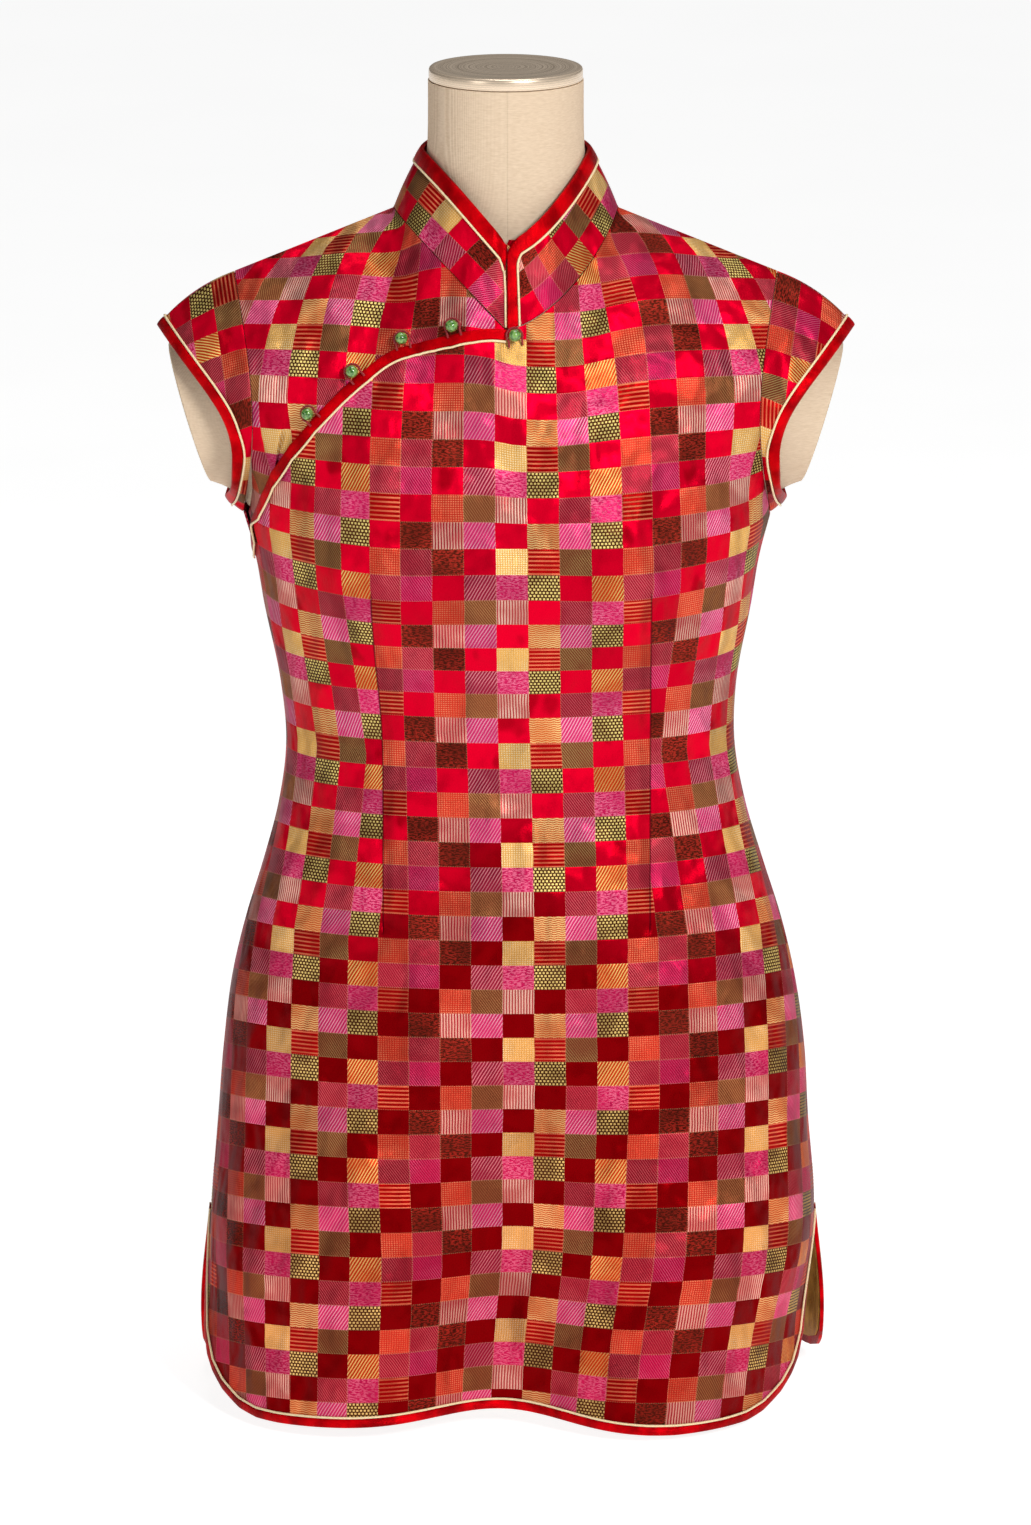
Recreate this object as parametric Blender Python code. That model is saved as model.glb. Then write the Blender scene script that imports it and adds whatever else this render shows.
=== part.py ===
"""A cap-sleeved cheongsam on a limbless dress form, modelled piece by piece.

Units are metres and +Z is up. The origin is the centre of the form's flat base, the front of the
dress faces -Y, and +X is the wearer's left. Each cloth piece is a thin wall on one of the smooth
surfaces below. A place on the front or back surface is a pair of numbers: `turn` goes from -1 at
the wearer's right side seam through 0 at the centre line to +1 at the left side seam, and `rise`
goes from 0 at the hem through 1 at the underarm to 2 at the shoulder and neck seams.
"""
import math

import bmesh
import bpy
import numpy as np

# ---------------------------------------------------------------- driving dimensions
WALL = 0.0013                  # brocade, interlined
GAP = 0.0003                   # between pieces that meet
TRIM_WALL = 0.0009             # satin binding
LINING_WALL = 0.0010
PIPING_RADIUS = 0.0008
BINDING_WIDTH = 0.0072         # on the opening and armholes
COLLAR_BINDING_WIDTH = 0.0095
HEM_BINDING_WIDTH = 0.0060

HEM = 0.0055                   # lowest height of the hem above the floor
SLIT_TOP = 0.128               # height where each side slit begins
UNDERARM = 0.632
SHOULDER_TIP = (0.187, 0.8025)  # across, height
NECK_SIDE = (0.0773, 0.847)    # side neck point: across, height
NECK_FRONT = (0.090, 0.779)    # centre front neck point: forward, height
NECK_BACK = (0.070, 0.852)     # centre back neck point: backward, height
NECK_TURN = 0.36               # turn at which the neck seam meets the shoulder seam
NECK_V = 1.15                  # 1 drops the right front neck seam in a straight V; more rounds it
CORNER_RADIUS = 0.036          # rounded hem corners at the slits

ARMHOLE_FORWARD = 0.062        # how far the armhole seam swings to the front
ARMHOLE_BACKWARD = 0.050
ARMHOLE_TUCK = 0.0110          # and how far in towards the chest
ARMHOLE_SCOOP = 0.27           # share of the underarm section that the armhole cuts away

BUST = dict(across=0.088, height=0.603, spread=0.046, out=0.010)
HEM_VALLEY = dict(depth=0.052, spread=0.065, start=0.34)   # dip between the two front flutes
BACK_VALLEY = dict(depth=0.020, spread=0.070, start=0.34)

COLLAR_TOP_SIDE = (0.0575, 0.888)
COLLAR_TOP_FRONT = (0.0720, 0.836)
COLLAR_TOP_BACK = (0.0600, 0.893)
COLLAR_V = 1.30                # as NECK_V, for the collar's top edge on the right
COLLAR_ROUND = 1.45            # and how full its curve is on the left
COLLAR_OVERLAP = 0.0080        # the left end covers the right end by one binding width
COLLAR_CORNER = 0.014          # drop of the top edge at its rounded front ends

TAB = dict(centre=0.0043, behind=0.0034, wall=0.0016, curl=0.0004,
           heights=(0.8225, 0.8300, 0.8370), halves=(0.0018, 0.0038, 0.0048))

UNDERLAP_DEPTH = 0.034         # how far the right front reaches beneath the opening's edge
BUTTON_RADIUS = 0.0043
LOOP_RADIUS = 0.0008
LOOP_LEG = 0.0045
SLEEVE_SWELL = 0.14            # how far the cap rounds out, as a share of its length
SLEEVE_GAP = 0.0005
COLLAR_GAP = 0.0008
COLLAR_BOW = 0.0010
NECK_RADIUS = 0.0535
CAP_RADIUS = 0.0530
CAP_HEIGHTS = (0.9365, 0.9450)

# Horizontal sections of the dress below the underarm, outside of the cloth.
SECTION_COLUMNS = ("height", "front_half", "front_centre", "back_half", "back_centre",
                   "front_depth", "back_depth", "square")
SECTIONS = (
    (0.010, 0.2095, -0.0035, 0.2195, 0.0045, 0.162, 0.146, 2.70),
    (0.060, 0.2115, -0.0010, 0.2200, 0.0045, 0.156, 0.143, 2.65),
    (0.128, 0.2135, 0.0045, 0.2135, 0.0045, 0.147, 0.138, 2.55),
    (0.200, 0.2082, 0.0050, 0.2082, 0.0050, 0.133, 0.132, 2.42),
    (0.250, 0.2046, 0.0056, 0.2046, 0.0056, 0.123, 0.129, 2.35),
    (0.300, 0.1977, 0.0052, 0.1977, 0.0052, 0.115, 0.126, 2.30),
    (0.340, 0.1882, 0.0052, 0.1882, 0.0052, 0.110, 0.121, 2.25),
    (0.380, 0.1758, 0.0050, 0.1758, 0.0050, 0.105, 0.111, 2.20),
    (0.425, 0.1633, 0.0042, 0.1633, 0.0042, 0.098, 0.096, 2.18),
    (0.470, 0.1567, 0.0030, 0.1567, 0.0030, 0.093, 0.086, 2.16),
    (0.511, 0.1589, 0.0018, 0.1589, 0.0018, 0.096, 0.087, 2.15),
    (0.569, 0.1697, 0.0012, 0.1697, 0.0012, 0.112, 0.098, 2.15),
    (0.605, 0.1757, 0.0010, 0.1757, 0.0010, 0.119, 0.103, 2.15),
    (0.632, 0.1830, 0.0006, 0.1830, 0.0006, 0.119, 0.106, 2.15),
)

# How far the front hem rises above its lowest height, from the right to the left.
FRONT_HEM_COLUMNS = ("turn", "rise")
FRONT_HEM = ((-1.0, 0.0015), (-0.75, 0.0020), (-0.5, 0.0055), (0.0, 0.0080), (0.5, 0.0), (1.0, 0.0))

# The opening's edge on the front, from the centre neck to the right side seam.
OPENING_COLUMNS = ("turn", "height")
OPENING = (
    (0.0, 0.779), (-0.05, 0.780), (-0.10, 0.777), (-0.20, 0.771), (-0.30, 0.766), (-0.36, 0.7635),
    (-0.40, 0.760), (-0.45, 0.7513), (-0.50, 0.7372), (-0.55, 0.718), (-0.60, 0.7015),
    (-0.65, 0.6885), (-0.70, 0.677), (-0.75, 0.665), (-0.80, 0.650), (-0.85, 0.6315),
    (-0.92, 0.6155), (-1.0, 0.608),
)
# The beads: place along the opening's edge, and how far outside that edge the bead sits.
BUTTON_COLUMNS = ("turn", "outside")
BUTTONS = ((0.011, -0.0050), (-0.129, 0.0056), (-0.327, 0.0048),
           (-0.474, 0.0036), (-0.555, 0.0036))

# The cap sleeve's free edge, from the top of the arm down to the underarm.
SLEEVE_COLUMNS = ("step", "across", "forward", "height")
SLEEVE_EDGE = (
    (0.00, 0.2405, 0.000, 0.7640), (0.12, 0.2323, 0.022, 0.7573), (0.25, 0.2190, 0.042, 0.7436),
    (0.36, 0.2061, 0.053, 0.7287), (0.46, 0.1960, 0.058, 0.7140), (0.59, 0.1895, 0.057, 0.6966),
    (0.75, 0.1880, 0.054, 0.6764), (0.88, 0.1895, 0.038, 0.6580), (1.00, 0.1945, 0.000, 0.6440),
)

# Horizontal sections of the form below the underarm.
FORM_COLUMNS = ("height", "half", "forward", "backward")
FORM_SECTIONS = (
    (0.000, 0.140, 0.070, 0.076), (0.120, 0.158, 0.082, 0.092), (0.230, 0.184, 0.097, 0.112),
    (0.300, 0.184, 0.100, 0.114), (0.380, 0.164, 0.094, 0.100), (0.470, 0.147, 0.084, 0.077),
    (0.560, 0.158, 0.100, 0.087),
)
FORM_HEIGHTS = (0.0, 0.06, 0.12, 0.18, 0.23, 0.28, 0.33, 0.38, 0.425, 0.47, 0.515, 0.56)
FORM_RISES = (0.955, 1.0, 1.13, 1.28, 1.44, 1.60, 1.76, 1.90, 2.0)  # where it follows the dress
FORM_TURNS = np.array([-1.0, -0.83, -0.66, -0.50, -0.36, -0.27, -0.18, -0.09, 0.0,
                       0.09, 0.18, 0.27, 0.36, 0.50, 0.66, 0.83, 1.0])
FORM_REST = 0.0004             # between the form and the cloth that rests on its shoulders
FORM_CLEAR = 0.0055            # and elsewhere
NECK_SHARES = (0.0, 0.08, 0.18, 0.32, 0.55, 1.0)
STUB_TOP = (0.2330, 0.752)     # arm stub's flat end: across, height
STUB_BOTTOM = (0.2040, 0.654)
STUB_HALF_DEPTH = 0.037
STUB_WAIST = 0.06


# ---------------------------------------------------------------- small numeric tools
def ease(value):
    """Run smoothly from 0 to 1 while value goes from 0 to 1."""
    value = np.clip(value, 0.0, 1.0)
    return value * value * (3.0 - 2.0 * value)


def smooth_through(places, values, at):
    """Read a smooth curve that passes through the given values at the given places."""
    places = np.asarray(places, float)
    values = np.asarray(values, float)
    slopes = np.gradient(values, places)
    at = np.clip(at, places[0], places[-1])
    low = np.clip(np.searchsorted(places, at, side="right") - 1, 0, len(places) - 2)
    span = places[low + 1] - places[low]
    part = (at - places[low]) / span
    rise = ease(part)
    start = part * (1 - part) ** 2 * span * slopes[low]
    end = -part * part * (1 - part) * span * slopes[low + 1]
    return values[low] * (1 - rise) + values[low + 1] * rise + start + end


def read_table(rows, columns, name, at):
    """Read one named column of a table, smoothly, at places in its first column."""
    table = np.array(sorted(rows))
    return smooth_through(table[:, 0], table[:, columns.index(name)], at)


def unit(vectors):
    """Scale vectors to length 1."""
    return vectors / np.maximum(np.linalg.norm(vectors, axis=-1, keepdims=True), 1e-12)


def along(points, fractions):
    """Points at fractions of a polyline's length."""
    steps = np.linalg.norm(np.diff(points, axis=0), axis=1)
    reach = np.concatenate([[0.0], np.cumsum(steps)])
    wanted = np.asarray(fractions) * reach[-1]
    return np.stack([np.interp(wanted, reach, points[:, axis]) for axis in range(3)], axis=-1)


def signed_power(value, power):
    """A power that keeps the sign."""
    return np.sign(value) * np.abs(value) ** power


# ---------------------------------------------------------------- the dress surfaces
FRONT, BACK = -1.0, 1.0
FINE_TURNS = np.linspace(-1.0, 1.0, 201)
LOWER_RISES = np.linspace(0.0, 1.0, 121)
UPPER_RISES = np.linspace(1.0, 2.0, 61)


def section(side, height):
    """Half of the dress's section at a height, even in length along the cloth."""
    name = "front" if side == FRONT else "back"
    half, centre, depth = (read_table(SECTIONS, SECTION_COLUMNS, name + column, height)
                           for column in ("_half", "_centre", "_depth"))
    power = 2.0 / read_table(SECTIONS, SECTION_COLUMNS, "square", height)
    angle = np.linspace(-1.0, 1.0, 721) * math.pi / 2
    across = half * signed_power(np.sin(angle), power)
    out = depth * np.abs(np.cos(angle)) ** power
    edge = np.abs(np.cos(angle)) ** 0.5
    if side == FRONT:
        nearness = ((np.abs(across) - BUST["across"]) / BUST["spread"]) ** 2
        nearness = nearness + ((height - BUST["height"]) / BUST["spread"]) ** 2
        out = out + BUST["out"] * np.exp(-nearness) * edge
    valley = HEM_VALLEY if side == FRONT else BACK_VALLEY
    fall = ease((valley["start"] - height) / (valley["start"] - HEM))
    out = out - valley["depth"] * fall * np.exp(-(across / valley["spread"]) ** 2) * edge
    points = np.stack([centre + across, side * out, np.full_like(across, height)], axis=1)
    middle = len(points) // 2
    right = along(points[:middle + 1], FINE_TURNS[:101] + 1.0)
    left = along(points[middle:], FINE_TURNS[101:])
    return np.concatenate([right, left])


def shoulder_line():
    """Shoulder seam from the side neck point to the shoulder tip, as across and height."""
    start, end = np.array(NECK_SIDE), np.array(SHOULDER_TIP)
    return start, end


def neck_seam(side, hand=1.0, count=121):
    """Half of the neck seam, from the centre line to the side neck point, as if on the left."""
    angle = np.linspace(math.pi / 2, 0.0, count)
    deep, low = NECK_FRONT if side == FRONT else NECK_BACK
    power = 1.2 if side == FRONT else 1.0
    across = NECK_SIDE[0] * np.cos(angle) ** power
    share = np.sin(angle) ** power
    straight = side == FRONT and hand < 0
    fall = (1.0 - across / NECK_SIDE[0]) ** NECK_V if straight else share ** 1.45
    height = NECK_SIDE[1] + (low - NECK_SIDE[1]) * fall
    return np.stack([across, side * deep * share, height], axis=1)


def top_seam(side):
    """Top boundary of a panel: shoulder seam, neck seam and shoulder seam again."""
    turns = np.abs(FINE_TURNS)
    right, left = (along(neck_seam(side, hand), np.clip(turns / NECK_TURN, 0, 1)) for hand in (-1.0, 1.0))
    neck = np.where((FINE_TURNS < 0)[:, None], right, left)
    start, end = shoulder_line()
    part = np.clip((turns - NECK_TURN) / (1 - NECK_TURN), 0, 1)[:, None]
    plan = start + (end - start) * part
    shoulder = np.stack([plan[:, 0], np.zeros(len(turns)), plan[:, 1]], axis=1)
    points = np.where((turns < NECK_TURN)[:, None], neck, shoulder)
    points[:, 0] *= np.where(FINE_TURNS < 0, -1.0, 1.0)
    return points


def armhole_seam(side, hand, rises):
    """Armhole seam of one panel at rises from 1 (underarm) to 2 (shoulder tip)."""
    part = np.asarray(rises) - 1.0
    swing = ARMHOLE_FORWARD if side == FRONT else ARMHOLE_BACKWARD
    low = read_table(SECTIONS, SECTION_COLUMNS, "front_half", UNDERARM)
    centre = read_table(SECTIONS, SECTION_COLUMNS, "front_centre", UNDERARM)
    bow = np.sin(math.pi * part)
    across = low + (SHOULDER_TIP[0] - low) * part - ARMHOLE_TUCK * bow
    height = UNDERARM + (SHOULDER_TIP[1] - UNDERARM) * part
    offset = centre * (1 - part)
    return np.stack([offset + hand * across, side * swing * bow ** 0.8, height], axis=-1)


def scoop(part):
    """Share of the section that the armhole takes away, from the underarm (0) upwards."""
    return ARMHOLE_SCOOP * np.sin(math.pi * np.clip(part, 0.0, 0.5)) ** 0.9


def soften_below_neck(patch):
    """Even out the fold that starts where the neck and shoulder seams meet."""
    part = (UPPER_RISES - 1.0)[:, None, None]
    near = np.exp(-((np.abs(FINE_TURNS) - NECK_TURN) / 0.14) ** 2)[None, :, None]
    weight = (np.sin(math.pi * np.clip(part, 0, 1)) ** 0.5 * near)[:, 1:-1]
    for _ in range(150):
        middle = (patch[:, :-2] + patch[:, 2:]) / 2
        patch[:, 1:-1] += 0.5 * weight * (middle - patch[:, 1:-1])
    return patch


def upper_surface(side, base, slope):
    """Fill between the underarm section, the armhole seams and the shoulder and neck seams."""
    top = top_seam(side)
    reach = np.linalg.norm(top - base, axis=1, keepdims=True)
    deep = NECK_FRONT[0] if side == FRONT else NECK_BACK[0]
    share = np.abs(top[:, 1:2]) / deep
    nearness = 1.0 - ease((np.abs(FINE_TURNS)[:, None] - 0.08) / 0.60)
    steepness = 0.1 + 0.75 * nearness + (2.1 if side == FRONT else 0.6) * share ** 2.2
    steepness = steepness + 0.42 * share ** 0.45
    ahead = unit(np.concatenate([np.zeros_like(share), -side + 0 * share, steepness], axis=1))
    top_pull = ahead * reach
    rows = []
    for part in UPPER_RISES - 1.0:
        kept = FINE_TURNS * (1.0 - scoop(part))
        low, pull = (np.stack([np.interp(kept, FINE_TURNS, values[:, axis]) for axis in range(3)], axis=1)
                     for values in (base, slope * reach))
        rise = ease(part)
        row = low * (1 - rise) + top * rise + pull * part * (1 - part) ** 2
        rows.append(row - top_pull * part * part * (1 - part))
    patch = np.array(rows)
    for hand, edge in ((-1.0, 0), (1.0, -1)):
        seam = armhole_seam(side, hand, UPPER_RISES)
        miss = seam - patch[:, edge]
        share = ease((hand * FINE_TURNS - 0.35) / 0.65)[None, :, None]
        patch = patch + miss[:, None, :] * share
    return soften_below_neck(patch)


def fine_surface(side):
    """Points and outward normals of one side of the dress on a fine grid of rises and turns."""
    heights = HEM + (UNDERARM - HEM) * LOWER_RISES
    lower = np.array([section(side, height) for height in heights])
    slope = (lower[-1] - lower[-4]) / (heights[-1] - heights[-4])
    upper = upper_surface(side, lower[-1], slope)
    points = np.concatenate([lower, upper[1:]])
    rises = np.concatenate([LOWER_RISES, UPPER_RISES[1:]])
    along_turn = np.gradient(points, axis=1)
    along_rise = np.gradient(points, axis=0)
    normals = side * np.cross(along_rise, along_turn)
    at_seam = np.zeros(normals.shape[:2], bool)
    at_seam[rises <= 1.0, 0] = True
    at_seam[rises <= 1.0, -1] = True
    at_seam[-1, np.abs(FINE_TURNS) >= NECK_TURN] = True
    normals[..., 1] = np.where(at_seam, 0.0, normals[..., 1])
    points[..., 1] += side * GAP / 2
    return rises, points, unit(normals)


SURFACES = {side: fine_surface(side) for side in (FRONT, BACK)}


def on_surface(side, turn, rise, out=0.0):
    """Points at turns and rises on a side of the dress, moved out along the normal."""
    rises, points, normals = SURFACES[side]
    turn, rise = np.broadcast_arrays(np.asarray(turn, float), np.asarray(rise, float))
    column = (np.clip(turn, -1, 1) + 1.0) * (len(FINE_TURNS) - 1) / 2
    row = np.interp(rise, rises, np.arange(len(rises)))
    low_column = np.clip(column.astype(int), 0, len(FINE_TURNS) - 2)
    low_row = np.clip(row.astype(int), 0, len(rises) - 2)
    part_column = (column - low_column)[..., None]
    part_row = (row - low_row)[..., None]

    def read(grid):
        first = grid[low_row, low_column] * (1 - part_column)
        first = first + grid[low_row, low_column + 1] * part_column
        second = grid[low_row + 1, low_column] * (1 - part_column)
        second = second + grid[low_row + 1, low_column + 1] * part_column
        return first * (1 - part_row) + second * part_row

    return read(points) + unit(read(normals)) * np.asarray(out)[..., None]


def plumb(turn, rise):
    """Turn of a right-hand front column that runs plumb where the armhole draws the turns in."""
    share = ease((-turn - NECK_TURN) / 0.25)
    return np.maximum(turn / (1.0 - scoop(rise - 1.0) * share), -1.0)


def rise_at_height(turn, height, steer=plumb):
    """Rise at which a column of the front reaches a height."""
    rises = SURFACES[FRONT][0]
    found = []
    for one_turn, one_height in zip(np.atleast_1d(turn), np.atleast_1d(height)):
        heights = on_surface(FRONT, steer(np.full(len(rises), one_turn), rises), rises)[:, 2]
        found.append(np.interp(one_height, heights, rises))
    return np.array(found)


def half_girth(side, height):
    """Cloth length from the centre line to a side seam at a height."""
    points = section(side, height)[100:]
    return float(np.linalg.norm(np.diff(points, axis=0), axis=1).sum())


# ---------------------------------------------------------------- meshes
def material(name, color, roughness, metallic=0.0):
    """Make a plain material."""
    made = bpy.data.materials.new(name)
    made.use_nodes = True
    shader = made.node_tree.nodes["Principled BSDF"]
    shader.inputs["Base Color"].default_value = (*color, 1.0)
    shader.inputs["Roughness"].default_value = roughness
    shader.inputs["Metallic"].default_value = metallic
    made.diffuse_color = (*color, 1.0)
    return made


def make_object(name, vertices, faces, finish, smooth=True):
    """Make one object from points and faces, with its faces turned outwards."""
    mesh = bpy.data.meshes.new(name)
    mesh.from_pydata([tuple(map(float, point)) for point in vertices], [], faces)
    shape = bmesh.new()
    shape.from_mesh(mesh)
    bmesh.ops.recalc_face_normals(shape, faces=shape.faces)
    bmesh.ops.triangulate(shape, faces=shape.faces)
    shape.to_mesh(mesh)
    shape.free()
    if smooth:
        mesh.shade_smooth()
        mesh.set_sharp_from_angle(angle=math.radians(40))
    made = bpy.data.objects.new(name, mesh)
    made.data.materials.append(finish)
    bpy.context.scene.collection.objects.link(made)
    return made


def wall_between(name, outer, inner, finish, closed=False):
    """Close two equal grids of points into one wall; closed joins the last column to the first."""
    rows, columns = outer.shape[:2]
    vertices = np.concatenate([outer.reshape(-1, 3), inner.reshape(-1, 3)])
    shift = rows * columns
    faces = []
    spans = columns if closed else columns - 1

    def at(row, column, layer=0):
        return row * columns + column % columns + layer * shift

    for row in range(rows - 1):
        for column in range(spans):
            ahead = (column + 1) % columns
            one = np.linalg.norm(outer[row, column] - outer[row + 1, ahead])
            other = np.linalg.norm(outer[row, ahead] - outer[row + 1, column])
            square = [(row, column), (row, column + 1), (row + 1, column + 1), (row + 1, column)]
            if other < one:
                square = square[1:] + square[:1]
            for corners in ((0, 1, 2), (0, 2, 3)):
                faces.append([at(*square[corner]) for corner in corners])
                faces.append([at(*square[corner], 1) for corner in reversed(corners)])
    for column in range(spans):
        for row, order in ((0, 1), (rows - 1, -1)):
            rim = [at(row, column), at(row, column, 1), at(row, column + 1, 1), at(row, column + 1)]
            faces.append(rim[::order])
    if not closed:
        for row in range(rows - 1):
            for column, order in ((0, -1), (columns - 1, 1)):
                rim = [at(row, column), at(row, column, 1), at(row + 1, column, 1),
                       at(row + 1, column)]
                faces.append(rim[::order])
    return make_object(name, vertices, faces, finish)


def strip(name, outer_edge, inner_edge, out_directions, finish, closed=False, lift=GAP):
    """A binding: a flat strip between two lines of panel points, moved out from the panel."""
    lines = np.stack([outer_edge, inner_edge])
    under = lines + out_directions * lift
    over = lines + out_directions * (lift + TRIM_WALL)
    return wall_between(name, over, under, finish, closed)


def tube(name, centres, radius, finish, sides=4, closed=False):
    """A tube through centres, capped at both ends unless closed."""
    count = len(centres)
    tangents = course_of(centres, closed)
    guide = np.array([0.0, 0.0, 1.0]) if abs(tangents[0][2]) < 0.8 else np.array([1.0, 0.0, 0.0])
    rings = []
    for centre, tangent in zip(centres, tangents):
        side = unit(np.cross(tangent, guide))
        guide = unit(np.cross(side, tangent))
        angles = (np.arange(sides) + 0.5) * 2 * math.pi / sides
        rings.append(centre + radius * (np.outer(np.cos(angles), side) + np.outer(np.sin(angles), guide)))
    vertices = np.concatenate(rings)
    faces = []
    for ring in range(count if closed else count - 1):
        for corner in range(sides):
            after = (corner + 1) % sides
            ahead = (ring + 1) % count
            faces.append([ring * sides + corner, ring * sides + after,
                          ahead * sides + after, ahead * sides + corner])
    if not closed:
        faces.append(list(range(sides))[::-1])
        faces.append([(count - 1) * sides + corner for corner in range(sides)])
    return make_object(name, vertices, faces, finish)


# ---------------------------------------------------------------- panels
class Cloth:
    """A cloth wall made from a grid of outer points and the outward directions there."""

    def __init__(self, name, outer, out, finish, wall=WALL, closed=False):
        self.outer = outer
        self.out = out
        self.closed = closed
        self.object = wall_between(name, outer, outer - out * wall, finish, closed)

    def read(self, places):
        """Points and normals at (row, column) places, which may lie between grid points."""
        rows, columns = self.outer.shape[:2]
        found = []
        for grid in (self.outer, self.out):
            values = []
            for row, column in places:
                row = row + rows if row < -0.5 else row
                row_low = min(max(int(row), 0), rows - 2)
                column_low = int(column) if self.closed else min(int(column), columns - 2)
                down, over = row - row_low, column - column_low
                corners = [[grid[row_low + step, (column_low + hop) % columns] for hop in (0, 1)]
                           for step in (0, 1)]
                ends = [first * (1 - over) + second * over for first, second in corners]
                values.append(ends[0] * (1 - down) + ends[1] * down)
            found.append(np.array(values))
        return found[0], unit(found[1])

    def beside(self, inside, edge_points, distance):
        """Places on the panel at a distance past a binding's inside line."""
        line, out = self.read(inside)
        course = course_of(line, self.closed)
        inward = unit(np.cross(out, course))
        inward = inward * np.sign(((line - edge_points) * inward).sum())
        inward = inward / np.clip(straightness(line, self.closed), 0.6, 1.0)[:, None]
        rows, columns = self.outer.shape[:2]
        moved = []
        for place, point, aim in zip(inside, line, inward):
            row, column = place[0] + (rows if place[0] < 0 else 0), place[1]
            steps = (0.1 if row < rows / 2 else -0.1, 0.1 if column < columns / 2 else -0.1)
            down = (self.read([(row + steps[0], column)])[0][0] - point) / steps[0]
            over = (self.read([(row, column + steps[1])])[0][0] - point) / steps[1]
            share = np.linalg.lstsq(np.stack([down, over], axis=1), aim * distance, rcond=None)[0]
            moved.append((row + share[0], column + share[1]))
        return moved

    def trim(self, stem, edge, inside, satin, cord, spare=0.0):
        """Bind an edge: a strip from the edge to the inside line, then piping on its inner side."""
        self.bind(stem, edge, inside, satin)
        self.pipe(stem, edge, inside, cord, spare)

    def bind(self, stem, edge, inside, satin, lift=GAP):
        """Lay a binding between an edge and an inside line."""
        edge_points, edge_out = self.read(edge)
        inside_points, inside_out = self.read(inside)
        strip(stem + "_binding", edge_points, inside_points,
              np.stack([edge_out, inside_out]), satin, self.closed, lift)

    def pipe(self, stem, edge, inside, cord, spare=0.0):
        """Lay piping just past an inside line."""
        edge_points, _ = self.read(edge)
        clear = PIPING_RADIUS + 2 * GAP
        points, out = self.read(self.beside(inside, edge_points, clear + GAP))
        tube(stem + "_piping", points + out * (clear + spare), PIPING_RADIUS, cord, closed=self.closed)


def straightness(line, closed):
    """1 where a line runs straight through a point, and less where it turns there."""
    after = unit(np.roll(line, -1, axis=0) - line)
    before = np.roll(after, 1, axis=0)
    if not closed:
        after[-1] = before[-1]
        before[0] = after[0]
    return np.linalg.norm(before + after, axis=1) / 2


def course_of(line, closed):
    """Direction along a line of points."""
    if closed:
        return unit(np.roll(line, -1, axis=0) - np.roll(line, 1, axis=0))
    steps = unit(np.diff(line, axis=0))
    return unit(np.concatenate([steps[:1], steps[:-1] + steps[1:], steps[-1:]]))


def panel(name, side, turns, rises, finish, inset=0.0, wall=WALL):
    """A cloth piece on one side of the dress."""
    depth = np.asarray(inset) * np.ones(turns.shape)
    outer = on_surface(side, turns, rises, -depth)
    out = unit(outer - on_surface(side, turns, rises, -depth - wall))
    return Cloth(name, outer, out, finish, wall)


def hem_lift(inward, radius, inset):
    """Height of a rounded hem corner above the hem, by distance in from the side edge."""
    reach = np.clip(radius - inward, 0.0, radius - inset)
    return radius - np.sqrt((radius - inset) ** 2 - reach ** 2)


SIDE_STEPS = (0.0, HEM_BINDING_WIDTH, 0.014, 0.024, CORNER_RADIUS)


NECK_TURNS = (0.0, 0.03, 0.08, 0.14, 0.20, 0.26, 0.31, NECK_TURN)


def panel_turns(side):
    """Turn of each panel column: close together at the slits and on the neck."""
    girth = half_girth(side, HEM)
    edge = [1.0 - step / girth for step in SIDE_STEPS]
    half = [*NECK_TURNS, 0.43, 0.50, 0.57, 0.65, 0.73, 0.80] + edge[::-1]
    return np.array([-turn for turn in half[:0:-1]] + half)


def lower_heights(slit_rows=4, rows=12):
    """Heights of the panel rows from the second row up to just below the underarm."""
    slit = np.linspace(CORNER_RADIUS + HEM + HEM_BINDING_WIDTH + 0.004, SLIT_TOP, slit_rows)
    body = np.linspace(SLIT_TOP, UNDERARM, rows + 1)[1:]
    return np.concatenate([slit, body])


def hem_rows(side, turns):
    """Heights of the two lowest rows, which follow the rounded corners."""
    inward = (1.0 - np.abs(turns)) * half_girth(side, HEM)
    edge = hem_lift(inward, CORNER_RADIUS, 0.0)
    inside = hem_lift(np.maximum(inward, HEM_BINDING_WIDTH), CORNER_RADIUS, HEM_BINDING_WIDTH)
    inside = np.where(inward < HEM_BINDING_WIDTH / 2, inside + HEM_BINDING_WIDTH, inside)
    level = HEM + (read_table(FRONT_HEM, FRONT_HEM_COLUMNS, "rise", turns) if side == FRONT else 0.0)
    return level + edge, level + inside


UPPER_PANEL_RISES = np.array([1.0, 1.13, 1.28, 1.44, 1.60, 1.76, 1.88, 1.955, 2.0])
PANEL_ROWS = 2 + len(lower_heights()) + len(UPPER_PANEL_RISES) - 1


def panel_rises(side, turns):
    """Rises of a whole panel's rows, from the hem to the top seam."""
    rows = [*hem_rows(side, turns)] + [np.full(len(turns), height) for height in lower_heights()]
    rises = (np.array(rows) - HEM) / (UNDERARM - HEM)
    return np.concatenate([rises, np.repeat(UPPER_PANEL_RISES[1:, None], len(turns), axis=1)])


def opening_rise(turns):
    """Rise of the opening's edge at turns from -1 to 0; the top seam elsewhere."""
    heights = read_table(OPENING, OPENING_COLUMNS, "height", np.clip(turns, -1, 0))
    rises = rise_at_height(np.minimum(turns, 0.0), heights)
    return np.where(turns < -1e-6, np.minimum(rises, 2.0), 2.0)


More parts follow.
